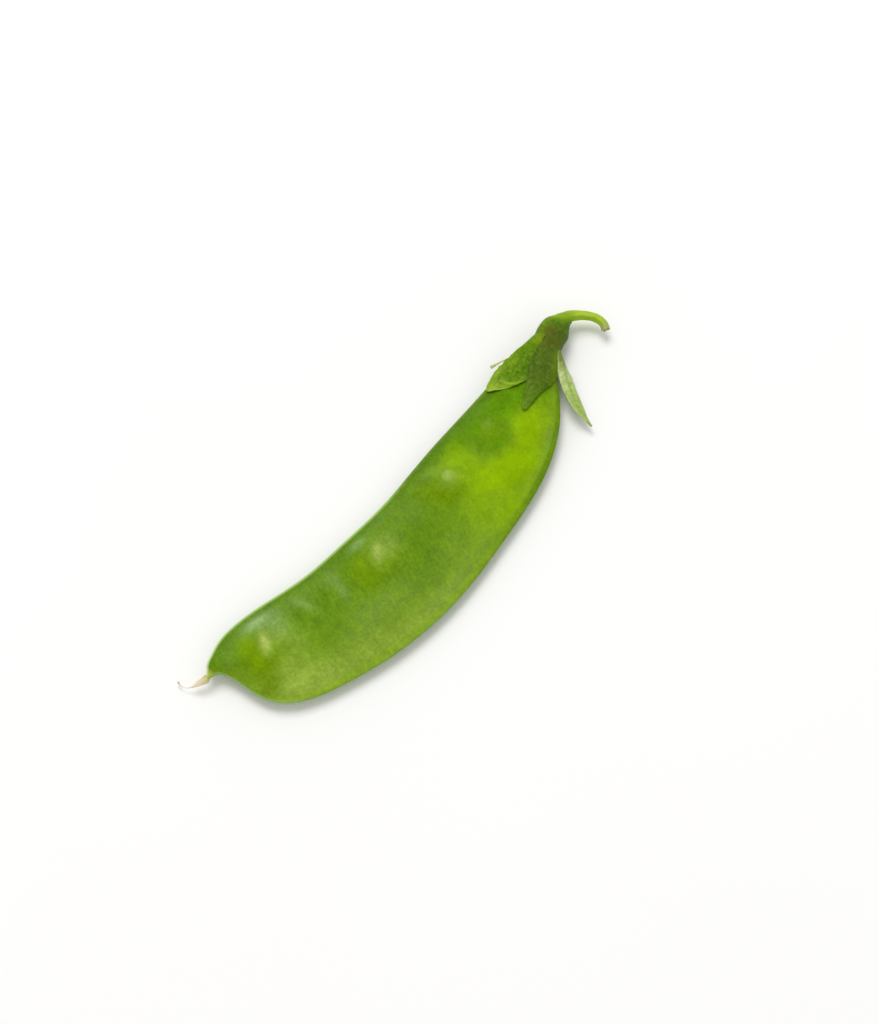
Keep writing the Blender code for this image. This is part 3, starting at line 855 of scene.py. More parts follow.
def calyx_marks(points):
    """Where the calyx is stained, yellowed or paler, on its upper face, with a painted highlight on the cup's
    shoulder.
    """
    x, y, z = points[..., 0], points[..., 1], points[..., 2]
    top, leaf = smooth(z, 3.2, 4.6), smooth(z, 1.4, 2.4)
    # a faint pale arc that curves across the broad lobe above its lower margin
    arc = np.exp(-(((np.hypot(x - 31.9, y + 0.3) - 2.0) / 0.24) ** 2))
    arc = arc * spot(x, y, 30.4, -1.2, 1.7, 1.7, 0, 3.0)
    return {
        "dark": np.clip(
            spot(x, y, 41.6, -1.3, 2.6, 1.7, 0, 3.0) + spot(x, y, 36.5, -3.0, 5.0, 2.6, 10, 3.0),
            0,
            1,
        )
        * (0.35 + 0.65 * top),
        "brown": top
        * np.clip(
            0.9 * spot(x, y, 41.6, 0.5, 1.3, 0.95, -50, 2.2)
            + 0.50 * spot(x, y, 40.4, -1.3, 2.0, 1.0, -30, 2.2),
            0,
            1,
        ),
        "yellow": np.clip(
            spot(x, y, 39.7, 0.75, 1.0, 0.55, 20, 2.4) * top
            + 0.5 * spot(x, y, 38.6, -4.0, 2.6, 0.6, 35, 2.4),
            0,
            1,
        ),
        "stalky": np.clip(
            spot(x, y, 46.4, 0.9, 2.3, 1.5, -38, 3.0) + 0.55 * spot(x, y, 44.6, 2.2, 1.5, 0.5, -50, 2.4),
            0,
            1,
        ),
        "deep": leaf
        * np.clip(
            1.0 * spot(x, y, 32.6, -0.5, 1.9, 1.3, -25, 2.6)
            + 0.9 * spot(x, y, 35.4, 0.3, 2.0, 1.5, 0, 2.4)
            + 0.5 * spot(x, y, 31.6, 1.0, 1.3, 0.8, 20, 2.4),
            0,
            1,
        ),
        "pale": leaf
        * np.clip(
            0.9 * spot(x, y, 27.5, 0.9, 1.5, 0.9, 30, 2.6)
            + 0.55 * spot(x, y, 28.6, -0.5, 1.5, 0.9, -40, 2.6)
            + 0.80 * arc
            + 0.60 * spot(x, y, 30.4, 2.1, 2.4, 0.42, 14, 2.2)
            + 0.40 * spot(x, y, 33.6, 1.6, 1.6, 0.9, 20, 2.2)
            # painted highlight on the cup's shoulder
            + 0.35 * spot(x, y, 42.7, 2.35, 1.5, 0.42, -12, 2.2),
            0,
            1,
        ),
        "speckled": leaf
        * np.clip(
            0.8 * spot(x, y, 29.3, 0.75, 1.1, 0.9, 20, 2.4)
            + 0.7 * spot(x, y, 27.6, 0.9, 1.2, 0.6, 35, 2.4)
            + 0.4 * spot(x, y, 31.2, 1.7, 1.6, 0.5, 20, 2.4),
            0,
            1,
        ),
    }


def no_marks(points):
    flat = 0 * points[..., 0]
    keys = ("dark", "brown", "yellow", "stalky", "deep", "pale", "speckled")
    return {key: flat for key in keys}


def lobe_free(name, rows, seed, along=130, across=56):
    """The lobe that stands clear of the pod: a bent leaf on its own midrib."""
    row = natural_spline(rows, np.linspace(0, len(rows) - 1, along))
    centre, half, roll, bend = row[:, 0:3], row[:, 3], row[:, 4], row[:, 5:7]
    tangent = unit(np.gradient(centre, axis=0))
    v = np.sin(np.linspace(-1, 1, across) * math.pi / 2 * 0.92) / math.sin(
        math.pi / 2 * 0.92
    )
    teeth = waves(seed, 9, 0.8, 2.6)
    billow = waves(seed + 1, 8, 3.0, 6.0)
    grid = []
    run = 0.0
    for k in range(along):
        side = unit(np.cross(tangent[k], (0, 0, 1.0)))
        lift = np.cross(side, tangent[k])
        phi = math.radians(roll[k])
        face = math.cos(phi) * side + math.sin(phi) * lift
        breadth = -math.sin(phi) * side + math.cos(phi) * lift
        run += 15.0 / along
        free = smooth(k / along, 0.15, 0.4)
        edge_wave = 1 + free * (
            0.014 * teeth(run, 0 * v) * np.sign(v) + 0.012 * teeth(run + 9, 0 * v)
        )
        alpha = np.radians(np.maximum(np.where(v < 0, bend[k][0], bend[k][1]), 0.1))
        radius = half[k] / alpha
        curl = free * (0.05 * billow(run, v * half[k]) * (0.3 + np.abs(v)))
        curl = curl - 0.22 * free * np.exp(-((v / 0.22) ** 2))
        points = (
            centre[k]
            + (radius * np.sin(alpha * v) * edge_wave)[:, None] * breadth
            - (radius * (1 - np.cos(alpha * v)) - curl)[:, None] * face
        )
        grid.append(points)
    grid = np.array(grid)
    where = (np.arange(along) / along)[:, None]
    wide = half[:, None]
    vv = v[None, :] + 0 * wide
    nerves = nerve_mask(vv, wide, (0.0,), 0.13) + 0.6 * nerve_mask(
        vv, wide, (-0.62, -0.32, 0.32, 0.62), 0.08
    )
    nerves *= smooth(where, 1.0, 0.85)
    thickness = (0.31 - 0.08 * where) * (1 - 0.6 * np.abs(vv) ** 4) + 0.07 * nerves
    layers = {
        "margin": smooth((1 - np.abs(vv)) * wide, 0.40, 0.05) * smooth(where, 0.1, 0.3),
        "nerve": np.clip(nerves, 0, 1),
        "lengthwise": where + 0 * vv,
        "crosswise": vv,
        **no_marks(grid),
    }
    return blade(name, grid, thickness, layers)


def make_cup():
    turns, steps = 144, 96
    row = natural_spline(CUP, np.linspace(0, len(CUP) - 1, steps))
    centre, radius = row[:, 0:3], row[:, 3]
    tangent = unit(np.gradient(centre, axis=0))
    angle = np.arange(turns) * 2 * math.pi / turns
    bumps = waves(41, 12, 1.2, 3.2)
    rings, share = [], []
    axis = tangent[0]

    def ring(c, t, r):
        across, up = cup_frame(t)
        rings.append(
            c + (r * np.cos(angle))[:, None] * across + (r * np.sin(angle))[:, None] * up
        )

    recess = natural_spline(CUP_RECESS, np.linspace(0, len(CUP_RECESS) - 1, 16))
    for depth, part in recess[::-1]:
        if depth < 0.12:
            continue
        ring(centre[0] + depth * axis, axis, (radius[0] - CUP_WALL) * part + 0 * angle)
        share.append(0.0)
    for f in np.linspace(0, 180, 9)[1:-1]:
        c, s = math.cos(math.radians(f)), math.sin(math.radians(f))
        ring(
            centre[0] + (0.14 - 0.14 * s) * axis,
            axis,
            radius[0] - CUP_WALL / 2 - CUP_WALL / 2 * c + 0 * angle,
        )
        share.append(0.0)
    ribs = 0.5 + 0.5 * np.cos(10 * angle + 0.6)
    for k in range(2, steps):
        g = k / (steps - 1)
        strength = smooth(g, 0.05, 0.3) * smooth(g, 1.0, 0.8)
        dent = -0.05 * (1 - ribs) * strength + 0.035 * strength * bumps(
            g * 6.0, angle * radius[k] / 1.6
        )
        ring(centre[k], tangent[k], radius[k] + dent)
        share.append(g)
    for f, r in ((0.16, 0.95), (0.30, 0.84), (0.38, 0.62), (0.40, 0.3), (0.40, 0.06)):
        ring(centre[-1] + f * tangent[-1], tangent[-1], radius[-1] * r + 0 * angle)
        share.append(1.0)
    rings = np.array(rings)
    share = np.array(share)[:, None] + 0 * angle
    layers = {
        "margin": 0 * share,
        "nerve": 0.3 * np.clip(np.cos(10 * angle + 0.6), 0, 1)[None, :] ** 4
        * smooth(share, 0.05, 0.3)
        * smooth(share, 1.0, 0.7),
        "lengthwise": -share,
        "crosswise": 0 * share,
        **calyx_marks(rings),
    }
    pts, faces, out = closed_tube(rings, layers)
    return build("calyx_cup_skin", pts, faces, out)


# ---------------------------------------------------------------- stalk and threads
def make_stalk():
    steps, turns = 190, 56
    row = natural_spline(STALK, np.linspace(0, len(STALK) - 1, steps))
    centre, radius = row[:, 0:3], row[:, 3]
    uneven = waves(51, 12, 1.0, 3.0)
    length = np.concatenate(
        [[0], np.cumsum(np.linalg.norm(np.diff(centre, axis=0), axis=1))]
    )

    def shape(k, angle):
        ribs = 0.045 * np.cos(5 * angle + 0.4) + 0.014 * np.cos(11 * angle + 1.1)
        return 1 + ribs * smooth(length[k], 0.6, 2.0) + 0.02 * uneven(
            length[k] * 0.7, angle * 0.8
        )

    rings = list(strand_rings(centre, radius, turns, shape))
    tangent = unit(np.gradient(centre, axis=0))[-1]
    end, mid = rings[-1], rings[-1].mean(0)
    angle = np.arange(turns) * 2 * math.pi / turns
    torn = 0.10 * waves(52, 8, 0.5, 1.4)(np.cos(angle), np.sin(angle))
    marks = [0.0] * steps
    along = list(length / length[-1])
    for scale, push, mark in (
        (1.03, 0.05, 0.3),
        (1.02, 0.11, 0.8),
        (0.95, 0.15, 1.0),
        (0.84, 0.12, 1.0),
        (0.74, 0.02, 0.9),
        (0.60, -0.05, 0.7),
        (0.42, -0.02, 0.6),
        (0.22, 0.03, 0.6),
        (0.05, 0.04, 0.6),
    ):
        rings.append(
            mid + (end - mid) * scale + (push + torn * min(scale, 0.9))[:, None] * tangent
        )
        marks.append(mark)
        along.append(1.0)
    rings = np.array(rings)
    flat = np.zeros(rings.shape[:2])
    layers = {
        "snapped": np.array(marks)[:, None] + flat,
        "along": np.array(along)[:, None] + flat,
        "rib": np.cos(5 * angle + 0.4)[None, :] + flat,
    }
    pts, faces, out = closed_tube(rings, layers)
    return build("stalk_skin", pts, faces, out)


def hair(root, direction, length, radius, bend, steps=6, turns=5):
    """One fine tapered hair."""
    direction = unit(np.array(direction, float))
    t = np.linspace(0, 1, steps)[:, None]
    centre = root + direction * length * t + bend * length * t**2
    radii = radius * (1 - 0.85 * t[:, 0])
    return strand_rings(centre, radii, turns)


def join_tubes(parts):
    """Several closed tubes as one list of points, faces and layers."""
    points, faces, layers, start = [], [], {}, 0
    for rings, layer in parts:
        p, f, out = closed_tube(rings, layer)
        points.append(p)
        faces += [tuple(i + start for i in face) for face in f]
        for key, v in out.items():
            layers.setdefault(key, []).append(v)
        start += len(p)
    return (
        np.vstack(points),
        faces,
        {key: np.concatenate(v) for key, v in layers.items()},
    )


def make_style():
    steps, turns = 150, 40
    row = natural_spline(STYLE, np.linspace(0, len(STYLE) - 1, steps))
    centre, radius = row[:, 0:3], row[:, 3]
    length = np.concatenate(
        [[0], np.cumsum(np.linalg.norm(np.diff(centre, axis=0), axis=1))]
    )
    total = length[-1]
    knots = waves(61, 10, 0.6, 1.8)

    def shape(k, angle):
        flat = 0.62 + 0.38 * smooth(length[k] / total, 0.8, 1.0)
        r = 1 + 0.10 * np.cos(3 * angle + 0.8) + 0.07 * np.cos(7 * angle)
        r = r + 0.08 * knots(length[k], angle * 0.5)
        return np.array([r * np.cos(angle), flat * r * np.sin(angle)])

    twist = 1.1 * length / total
    rings = strand_rings(centre, radius, turns, shape, twist)
    tangent = unit(np.gradient(centre, axis=0))[-1]
    mid = rings[-1].mean(0)
    extra = []
    for f in (25, 50, 70, 86):
        c, s = math.cos(math.radians(f)), math.sin(math.radians(f))
        extra.append(mid + (rings[-1] - mid) * c + tangent * radius[-1] * s)
    rings = np.concatenate([rings, np.array(extra)])
    place = np.concatenate([length / total, [1.0] * 4])[:, None]
    parts = [(rings, {"along": place + np.zeros(rings.shape[:2]), "hair": 0 * rings[..., 0]})]
    rng = np.random.default_rng(62)
    tangents, side, lift = frames_along(centre)
    for _ in range(84):
        k = int(rng.uniform(0.16, 0.62) * steps)
        a = rng.uniform(0, 2 * math.pi)
        out = math.cos(a) * side[k] + math.sin(a) * lift[k]
        root = centre[k] + out * radius[k] * 0.5
        direction = unit(out * rng.uniform(0.35, 0.9) + tangents[k] * rng.uniform(0.7, 1.3))
        size = rng.uniform(0.35, 0.85) * min(1.0, radius[k] / 0.45)
        bend = 0.25 * tangents[k] + rng.uniform(-0.15, 0.15, 3)
        h = hair(root, direction, size, 0.028, bend)
        h[..., 2] = np.maximum(h[..., 2], 0.05)
        parts.append(
            (
                h,
                {
                    "along": np.full(h.shape[:2], length[k] / total),
                    "hair": np.ones(h.shape[:2]),
                },
            )
        )
    pts, faces, layers = join_tubes(parts)
    return build("style_skin", pts, faces, layers)


def make_stamen():
    steps, turns = 120, 20
    row = natural_spline(STAMEN, np.linspace(0, len(STAMEN) - 1, steps))
    centre, radius = row[:, 0:3].copy(), row[:, 3]
    length = np.concatenate(
        [[0], np.cumsum(np.linalg.norm(np.diff(centre, axis=0), axis=1))]
    )
    total = length[-1]
    wander = waves(71, 8, 1.4, 4.0)
    loose = smooth(length / total, 0.1, 0.3)
    centre[:, 1] += 0.05 * wander(length, 0.0) * loose
    centre[:, 2] += 0.05 * wander(length, 9.0) * loose
    knots = waves(72, 10, 0.5, 1.6)

    def shape(k, angle):
        r = 1 + 0.16 * np.cos(2 * angle) + 0.10 * knots(length[k], angle * 0.4)
        tip = smooth(length[k] / total, 0.90, 0.97)
        r = r * (1 + 0.25 * tip)
        return np.array([r * np.cos(angle), 0.6 * r * np.sin(angle)])

    rings = strand_rings(centre, radius, turns, shape, 3.2 * length / total)
    tangent = unit(np.gradient(centre, axis=0))[-1]
    mid = rings[-1].mean(0)
    extra = [
        mid + (rings[-1] - mid) * math.cos(math.radians(f))
        + tangent * radius[-1] * math.sin(math.radians(f))
        for f in (30, 60, 84)
    ]
    rings = np.concatenate([rings, np.array(extra)])
    place = np.concatenate([length / total, [1.0] * 3])[:, None]
    layers = {"along": place + np.zeros(rings.shape[:2]), "hair": 0 * rings[..., 0]}
    pts, faces, out = closed_tube(rings, layers)
    return build("stamen_skin", pts, faces, out)


# ---------------------------------------------------------------- materials
class Finish:
    """A material's nodes, with short names for the ones used here."""

    def __init__(self, name):
        self.mat = bpy.data.materials.new(name)
        self.mat.use_nodes = True
        self.nodes = self.mat.node_tree.nodes
        self.links = self.mat.node_tree.links
        self.shader = self.nodes["Principled BSDF"]
        place = self.nodes.new("ShaderNodeTexCoord").outputs["Object"]
        self.at = self.stretch(place, (1000, 1000, 1000))

    def put(self, socket, value):
        if isinstance(value, bpy.types.NodeSocket):
            self.links.new(value, socket)
        else:
            socket.default_value = value

    def stretch(self, vector, scale, turn=None):
        if turn:
            node = self.nodes.new("ShaderNodeMapping")
            self.links.new(vector, node.inputs["Vector"])
            node.inputs["Rotation"].default_value = [math.radians(a) for a in turn]
            vector = node.outputs["Vector"]
        node = self.nodes.new("ShaderNodeMapping")
        self.links.new(vector, node.inputs["Vector"])
        node.inputs["Scale"].default_value = scale
        return node.outputs["Vector"]

    def layer(self, name):
        node = self.nodes.new("ShaderNodeAttribute")
        node.attribute_name = name
        return node.outputs["Fac"]

    def noise(self, vector, scale, detail=2.0, rough=0.5, bent=0.0):
        node = self.nodes.new("ShaderNodeTexNoise")
        self.links.new(vector, node.inputs["Vector"])
        node.inputs["Scale"].default_value = scale
        node.inputs["Detail"].default_value = detail
        node.inputs["Roughness"].default_value = rough
        node.inputs["Distortion"].default_value = bent
        return node.outputs["Fac"]

    def cells(self, vector, scale, feature="F1", spread=1.0):
        node = self.nodes.new("ShaderNodeTexVoronoi")
        node.feature = feature
        self.links.new(vector, node.inputs["Vector"])
        node.inputs["Scale"].default_value = scale
        node.inputs["Randomness"].default_value = spread
        return node.outputs["Distance"]

    def math(self, kind, a, b=0.0, clamp=False):
        node = self.nodes.new("ShaderNodeMath")
        node.operation = kind
        node.use_clamp = clamp
        self.put(node.inputs[0], a)
        self.put(node.inputs[1], b)
        return node.outputs[0]

    def span(self, value, low, high, to_low=0.0, to_high=1.0):
        node = self.nodes.new("ShaderNodeMapRange")
        self.put(node.inputs["Value"], value)
        for key, number in (
            ("From Min", low),
            ("From Max", high),
            ("To Min", to_low),
            ("To Max", to_high),
        ):
            node.inputs[key].default_value = number
        return node.outputs["Result"]

    def mix(self, share, a, b, kind="MIX"):
        node = self.nodes.new("ShaderNodeMix")
        node.data_type = "RGBA"
        node.blend_type = kind
        self.put(node.inputs[0], share)
        self.put(node.inputs[6], a if not isinstance(a, tuple) else (*a, 1.0))
        self.put(node.inputs[7], b if not isinstance(b, tuple) else (*b, 1.0))
        return node.outputs[2]

    def times(self, colour, factor):
        """A colour made lighter or darker by a factor, its hue kept."""
        node = self.nodes.new("ShaderNodeVectorMath")
        node.operation = "SCALE"
        self.links.new(colour, node.inputs[0])
        self.put(node.inputs["Scale"], factor)
        return node.outputs["Vector"]

    def bump(self, height, strength, distance, under=None):
        node = self.nodes.new("ShaderNodeBump")
        node.inputs["Strength"].default_value = strength
        node.inputs["Distance"].default_value = distance
        self.links.new(height, node.inputs["Height"])
        if under is not None:
            self.links.new(under, node.inputs["Normal"])
        return node.outputs["Normal"]

    def done(self, **sockets):
        for key, value in sockets.items():
            self.put(self.shader.inputs[key.replace("_", " ")], value)
        return self.mat


def pod_finish():
    f = Finish("pod_skin")
    at = f.at
    big = f.noise(at, 0.16, 2.0, 0.5)
    mid = f.noise(at, 0.55, 3.0, 0.55)
    cloud = f.noise(at, 0.42, 3.0, 0.6, 0.3)
    strokes = f.noise(f.stretch(at, (2.2, 0.55, 1.0), (0, 0, 14)), 1.0, 2.0, 0.6)
    grain = f.noise(at, 1.9, 3.0, 0.75)
    pores = f.cells(at, 2.3)
    # painted light: the wall runs from darker at the seed-bearing seam to lighter at the far seam
    colour = f.mix(f.layer("outer"), (0.106, 0.220, 0.004), (0.178, 0.306, 0.013))
    colour = f.mix(f.span(big, 0.35, 0.65, 0.0, 0.30), colour, (0.150, 0.272, 0.020))
    # painted sheen: greyer, cooler patches of reflection
    colour = f.mix(
        f.math("MULTIPLY", f.layer("cool_sheen"), f.span(cloud, 0.35, 0.62, 0.35, 1.0)),
        colour,
        (0.182, 0.306, 0.064),
    )
    # painted bounce light from the floor over the whitish bloom
    colour = f.mix(
        f.math("MULTIPLY", f.layer("bloom_and_bounce_light"), f.span(mid, 0.3, 0.7, 0.80, 1.0)),
        colour,
        (0.292, 0.418, 0.055),
    )
    colour = f.mix(
        f.math("MULTIPLY", f.layer("shade"), 0.75), colour, (0.088, 0.192, 0.004)
    )
    # deep green, with painted shade next to the side lobe
    colour = f.mix(
        f.math("MULTIPLY", f.layer("deep_green_and_shade"), 0.92), colour, (0.094, 0.236, 0.0002)
    )
    # painted light: the glow of light coming through the wall
    colour = f.mix(
        f.math("MULTIPLY", f.layer("painted_glow"), f.span(big, 0.3, 0.7, 0.88, 1.0)),
        colour,
        (0.244, 0.420, 0.0004),
    )
    colour = f.mix(
        f.math("MULTIPLY", f.layer("olive"), 0.92), colour, (0.150, 0.262, 0.0002)
    )
    # painted highlight on the seed swellings
    colour = f.mix(
        f.math("MULTIPLY", f.layer("pale"), 0.85), colour, (0.385, 0.492, 0.108)
    )
    colour = f.mix(
        f.math("MULTIPLY", f.layer("sheen"), 0.50), colour, (0.330, 0.475, 0.200)
    )
    # painted shade in the dark strip beside the seed-bearing seam
    colour = f.mix(f.math("MULTIPLY", f.layer("band"), 0.7), colour, (0.086, 0.188, 0.012))
    # painted shade along the far seam
    colour = f.mix(f.math("MULTIPLY", f.layer("far_seam_shade"), 0.78), colour, (0.112, 0.222, 0.002))
    # cloudy and grainy, but always in the green that is there
    patchy = f.span(cloud, 0.32, 0.68, 1.12, 0.88)
    weave = f.math("ADD", grain, f.math("MULTIPLY", f.layer("drawn"), f.math("SUBTRACT", strokes, 0.5)))
    calm = f.math("SUBTRACT", 1.0, f.math("MULTIPLY", f.layer("painted_glow"), 0.5))
    speck = f.math("MULTIPLY", f.span(weave, 0.36, 0.64, 0.15, -0.13), calm)
    colour = f.times(colour, f.math("MULTIPLY", patchy, f.math("ADD", speck, 1.0)))
    colour = f.mix(f.span(pores, 0.0, 0.24, 0.10, 0.0), colour, (0.330, 0.460, 0.045))
    # painted highlight along the seam ridges
    colour = f.mix(f.math("MULTIPLY", f.layer("cord"), 0.90), colour, (0.370, 0.555, 0.185))
    colour = f.mix(
        f.math("MULTIPLY", f.layer("neck"), 0.4), colour, (0.120, 0.240, 0.004)
    )
    colour = f.mix(f.math("MULTIPLY", f.layer("beak"), 0.85), colour, (0.430, 0.480, 0.100))
    # painted highlight along the beak's edge
    colour = f.mix(f.math("MULTIPLY", f.layer("beak_edge_highlight"), 0.65), colour, (0.600, 0.720, 0.400))
    rough = f.span(f.noise(at, 1.2, 3.0, 0.6), 0.3, 0.7, 0.40, 0.54)
    lumps = f.math("ADD", f.math("MULTIPLY", weave, 0.6), f.math("MULTIPLY", pores, -0.25))
    fine = f.bump(lumps, 0.20, 0.00010)
    return f.done(
        Base_Color=colour,
        Roughness=rough,
        Normal=fine,
        Metallic=0.0,
        Specular_IOR_Level=0.17,
        Specular_Tint=(0.6, 1.0, 0.08, 1.0),
        Subsurface_Weight=0.15,
        Subsurface_Radius=(0.55, 1.0, 0.12),
        Subsurface_Scale=0.0010,
    )


def calyx_finish(name, main, dark, light, edge, nerve=0.22, rim=0.6, free=False, tip=None):
    """Leafy calyx: dull green, nerved, mottled, with a paler margin. The free lobe
    has a whitish painted highlight part way along, painted shade along its folded
    middle, and is green where it leaves the cup. A lobe with a tip colour turns to it towards its point."""
    f = Finish(name)
    at = f.at
    mottle = f.noise(at, 0.9, 3.0, 0.6, 0.4)
    grain = f.noise(at, 2.6, 3.0, 0.7)
    blotch = f.noise(at, 1.5, 3.0, 0.65, 0.6)
    spots = f.noise(at, 2.0, 2.0, 0.6, 0.3)
    colour = f.mix(f.layer("dark"), main, (0.076, 0.134, 0.009))
    colour = f.mix(f.span(mottle, 0.38, 0.62, 0.50, 0.0), colour, dark)
    colour = f.mix(f.math("MULTIPLY", f.layer("deep"), f.span(blotch, 0.40, 0.55, 1.0, 0.35)), colour, dark)
    colour = f.mix(f.span(blotch, 0.54, 0.70, 0.0, 0.35), colour, light)
    if free:
        along, across = f.layer("lengthwise"), f.layer("crosswise")
        # painted shade along the folded middle, and a whitish painted highlight part way along
        fold = f.span(f.math("ABSOLUTE", across), 0.0, 0.42, 0.75, 0.0)
        whitish_highlight = f.math("MULTIPLY", f.span(along, 0.30, 0.42), f.span(along, 0.64, 0.50))
        colour = f.mix(f.math("MULTIPLY", whitish_highlight, 0.60), colour, (0.550, 0.620, 0.290))
        colour = f.mix(fold, colour, (0.250, 0.385, 0.085))
        colour = f.mix(f.span(along, 0.60, 0.95, 0.0, 0.75), colour, (0.300, 0.400, 0.085))
        colour = f.mix(f.span(along, 0.42, 0.27, 0.0, 0.95), colour, (0.150, 0.232, 0.030))
    if tip:
        colour = f.mix(f.span(f.layer("lengthwise"), 0.66, 1.0, 0.0, 0.75), colour, tip)
    uneven = f.math("MULTIPLY", f.span(blotch, 0.34, 0.66, 0.80, 1.20), f.span(grain, 0.34, 0.66, 1.12, 0.86))
    colour = f.times(colour, uneven)
    colour = f.mix(f.math("MULTIPLY", f.layer("nerve"), nerve), colour, light)
    colour = f.mix(f.math("MULTIPLY", f.layer("stalky"), 0.95), colour, (0.225, 0.370, 0.010))
    colour = f.mix(f.math("MULTIPLY", f.layer("yellow"), 0.80), colour, (0.215, 0.290, 0.003))
    share = f.math("MULTIPLY", f.layer("brown"), f.span(mottle, 0.3, 0.55, 0.55, 0.95))
    colour = f.mix(share, colour, (0.100, 0.086, 0.010))
    colour = f.mix(
        f.math("MULTIPLY", f.layer("pale"), f.span(blotch, 0.36, 0.58, 0.62, 1.0)),
        colour,
        (0.300, 0.440, 0.028),
    )
    colour = f.mix(
        f.math("MULTIPLY", f.layer("speckled"), f.span(spots, 0.42, 0.66, 0.0, 0.60)),
        colour,
        (0.380, 0.510, 0.090),
    )
    colour = f.mix(
        f.math("MULTIPLY", f.layer("margin"), f.span(spots, 0.38, 0.56, rim, 0.6 * rim)),
        colour,
        edge,
    )
    rough = f.span(mottle, 0.3, 0.7, 0.50, 0.66)
    height = f.math("ADD", f.math("MULTIPLY", grain, 0.5), f.math("MULTIPLY", mottle, 0.6))
    return f.done(
        Base_Color=colour,
        Roughness=rough,
        Normal=f.bump(height, 0.5, 0.00016),
        Metallic=0.0,
        Specular_IOR_Level=0.16,
        Specular_Tint=(0.7, 1.0, 0.3, 1.0),
        Subsurface_Weight=0.10,
        Subsurface_Radius=(0.55, 1.0, 0.12),
        Subsurface_Scale=0.0006,
    )


def stalk_finish():
    f = Finish("stalk_green")
    at = f.at
    mottle = f.noise(at, 0.9, 3.0, 0.6)
    grain = f.noise(at, 3.5, 2.0, 0.6)
    colour = f.mix(f.span(mottle, 0.35, 0.65), (0.315, 0.470, 0.018), (0.420, 0.580, 0.045))
    colour = f.mix(f.span(f.layer("rib"), -1.0, 1.0, 0.30, 0.0), colour, (0.240, 0.380, 0.012))
    joint = f.span(f.layer("along"), 0.26, 0.10, 0.0, 0.85)
    colour = f.mix(joint, colour, (0.225, 0.370, 0.010))
    end = f.math("MULTIPLY", f.span(f.layer("along"), 0.80, 0.97), f.span(mottle, 0.38, 0.60, 0.45, 0.9))
    colour = f.mix(end, colour, (0.370, 0.360, 0.170))
    wood = f.mix(f.span(grain, 0.4, 0.6), (0.300, 0.240, 0.110), (0.520, 0.480, 0.280))
    colour = f.mix(f.math("MULTIPLY", f.layer("snapped"), 0.9), colour, wood)
    height = f.math("ADD", f.math("MULTIPLY", grain, 0.4), f.math("MULTIPLY", mottle, 0.6))
    return f.done(
        Base_Color=colour,
        Roughness=f.span(mottle, 0.3, 0.7, 0.40, 0.55),
        Normal=f.bump(height, 0.35, 0.00012),
        Metallic=0.0,
        Specular_IOR_Level=0.22,
        Specular_Tint=(0.8, 1.0, 0.5, 1.0),
        Subsurface_Weight=0.15,
        Subsurface_Radius=(0.6, 1.0, 0.15),
        Subsurface_Scale=0.0008,
    )


def thread_finish(name, root, body, tip):
    f = Finish(name)
    at = f.at
    streak = f.noise(f.stretch(at, (1, 1, 1)), 2.6, 3.0, 0.7)
    along = f.layer("along")
    colour = f.mix(f.span(along, 0.02, 0.30), root, body)
    colour = f.mix(f.span(along, 0.55, 0.98), colour, tip)
    colour = f.mix(f.span(streak, 0.45, 0.75, 0.0, 0.5), colour, root)
    colour = f.mix(f.math("MULTIPLY", f.layer("hair"), 0.7), colour, (0.92, 0.87, 0.76))
    return f.done(
        Base_Color=colour,
        Roughness=f.span(streak, 0.3, 0.7, 0.65, 0.85),
        Normal=f.bump(streak, 0.6, 0.0001),
        Metallic=0.0,
        Specular_IOR_Level=0.2,
        Subsurface_Weight=0.2,
        Subsurface_Radius=(1.0, 0.7, 0.4),
        Subsurface_Scale=0.0006,
    )


def floor_finish():
    f = Finish("pale_floor")
    tint = f.noise(f.at, 0.01, 2.0, 0.5)
    colour = f.mix(f.span(tint, 0.3, 0.7), (0.935, 0.930, 0.922), (0.942, 0.940, 0.935))
    return f.done(Base_Color=colour, Roughness=0.9, Specular_IOR_Level=0.1)


# ---------------------------------------------------------------- the pieces
def piece(obj, finish, node):
    obj.data.materials.append(finish)
    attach(obj, "root")
    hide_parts(node)
    return obj


piece(make_pod(), pod_finish(), "pod")
piece(
    make_cup(),
    calyx_finish(
        "calyx_cup",
        (0.087, 0.174, 0.005),
        (0.057, 0.114, 0.003),
        (0.160, 0.250, 0.028),
        (0.200, 0.320, 0.040),
        nerve=0.12,
    ),
    "calyx_cup",
)
side = calyx_finish(
    "calyx_side",
    (0.090, 0.165, 0.006),
    (0.054, 0.106, 0.003),
    (0.145, 0.225, 0.045),
    (0.165, 0.265, 0.045),
    nerve=0.14,
    rim=0.30,
    tip=(0.128, 0.250, 0.010),
)
broad = calyx_finish(
    "calyx_broad",
    (0.126, 0.252, 0.002),
    (0.070, 0.166, 0.001),
    (0.190, 0.330, 0.014),
    (0.400, 0.550, 0.100),
    nerve=0.10,
    rim=0.75,
)
neck = Neck()


def broad_flare(q, v):
    """The tip and the left margin stand up a little from the pod."""
    return 0.22 * smooth(q, 0.72, 1.0) + 0.12 * smooth(q, 0.3, 0.6) * smooth(v, -0.4, -1.0)


def side_flare(q, v):
    """The right margin bends down round the neck, the tip stays up a little."""
    return 0.16 * smooth(q, 0.7, 1.0) - 0.10 * smooth(q, 0.1, 0.4) * smooth(v, 0.5, 1.0)


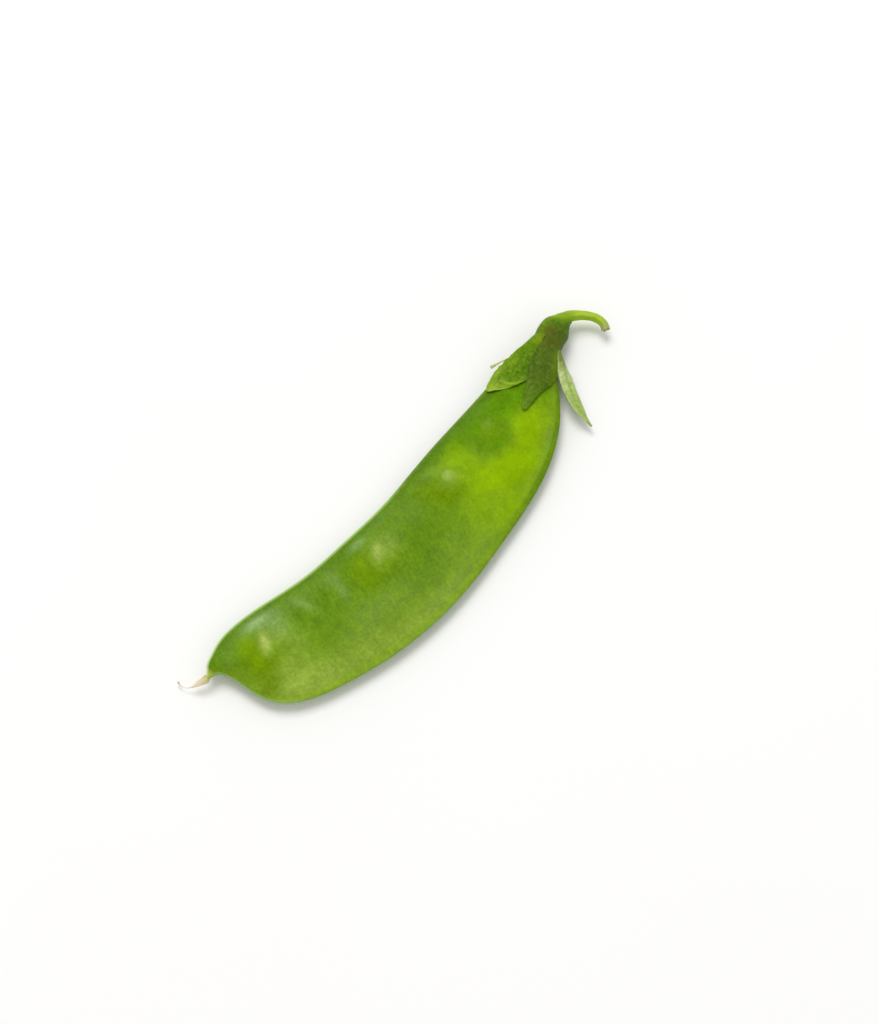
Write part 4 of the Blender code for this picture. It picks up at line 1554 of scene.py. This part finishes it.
piece(
    lobe_front("sepal_upper_front_blade", neck, BROAD, 87, 0.0, broad_flare),
    broad,
    "sepal_upper_front",
)
piece(
    lobe_front("sepal_side_front_blade", neck, SIDE, 80, 0.20, side_flare),
    side,
    "sepal_side_front",
)
for number, (name, (base, rows)) in enumerate(LOBES_BACK.items()):
    lobe = lobe_on_pod(name + "_blade", base, rows, 94 + 7 * number)
    piece(lobe, side if "side" in name else broad, name)
piece(
    lobe_free("sepal_lower_free_blade", LOBE_FREE, 120),
    calyx_finish(
        "calyx_free",
        (0.405, 0.530, 0.145),
        (0.290, 0.420, 0.085),
        (0.480, 0.590, 0.230),
        (0.490, 0.600, 0.250),
        nerve=0.0,
        rim=0.55,
        free=True,
    ),
    "sepal_lower_free",
)
piece(make_stalk(), stalk_finish(), "stalk")
piece(
    make_style(),
    thread_finish("dried_style", (0.520, 0.450, 0.140), (0.880, 0.750, 0.530), (0.640, 0.500, 0.460)),
    "style_thread",
)
piece(
    make_stamen(),
    thread_finish("dried_stamen", (0.340, 0.400, 0.080), (0.440, 0.530, 0.130), (0.480, 0.500, 0.200)),
    "stamen_thread",
)


# ---------------------------------------------------------------- floor, light, camera
def make_floor():
    half, steps = 8.0, 8
    side = np.linspace(-half, half, steps + 1)
    verts = [(x, y, 0.0) for y in side for x in side]
    faces = [
        (i + j * (steps + 1), i + 1 + j * (steps + 1), i + 1 + (j + 1) * (steps + 1), i + (j + 1) * (steps + 1))
        for j in range(steps)
        for i in range(steps)
    ]
    mesh = bpy.data.meshes.new("floor")
    mesh.from_pydata(verts, [], faces)
    obj = bpy.data.objects.new("floor", mesh)
    obj.data.materials.append(floor_finish())
    bpy.context.scene.collection.objects.link(obj)


def area_light(name, place, aim, size, power, colour=(1, 1, 1)):
    data = bpy.data.lights.new(name, "AREA")
    data.shape = "SQUARE"
    data.size = size
    data.energy = power
    data.color = colour
    obj = bpy.data.objects.new(name, data)
    obj.location = place
    obj.rotation_euler = (Vector(aim) - Vector(place)).to_track_quat("-Z", "Y").to_euler()
    bpy.context.scene.collection.objects.link(obj)


make_floor()
area_light("key", (0.47, 0.82, 1.77), (0, 0, 0), 1.0, 20.4, (1.0, 0.995, 0.98))

world = bpy.context.scene.world or bpy.data.worlds.new("studio")
bpy.context.scene.world = world
world.use_nodes = True
world.node_tree.nodes["Background"].inputs["Color"].default_value = (1, 1, 1, 1)
world.node_tree.nodes["Background"].inputs["Strength"].default_value = 0.66
bpy.context.scene.view_settings.view_transform = "Standard"

camera_data = bpy.data.cameras.new("camera")
camera_data.lens = 85
camera_data.sensor_width = 36
camera_data.clip_start = 0.01
camera = bpy.data.objects.new("camera", camera_data)
camera.location = (-0.09933, -0.09621, 0.38906)
aim = Vector((0.003477, 0.001183, 0.0))
camera.rotation_euler = (aim - camera.location).to_track_quat("-Z", "Y").to_euler()
bpy.context.scene.collection.objects.link(camera)
bpy.context.scene.camera = camera

bpy.context.view_layer.update()
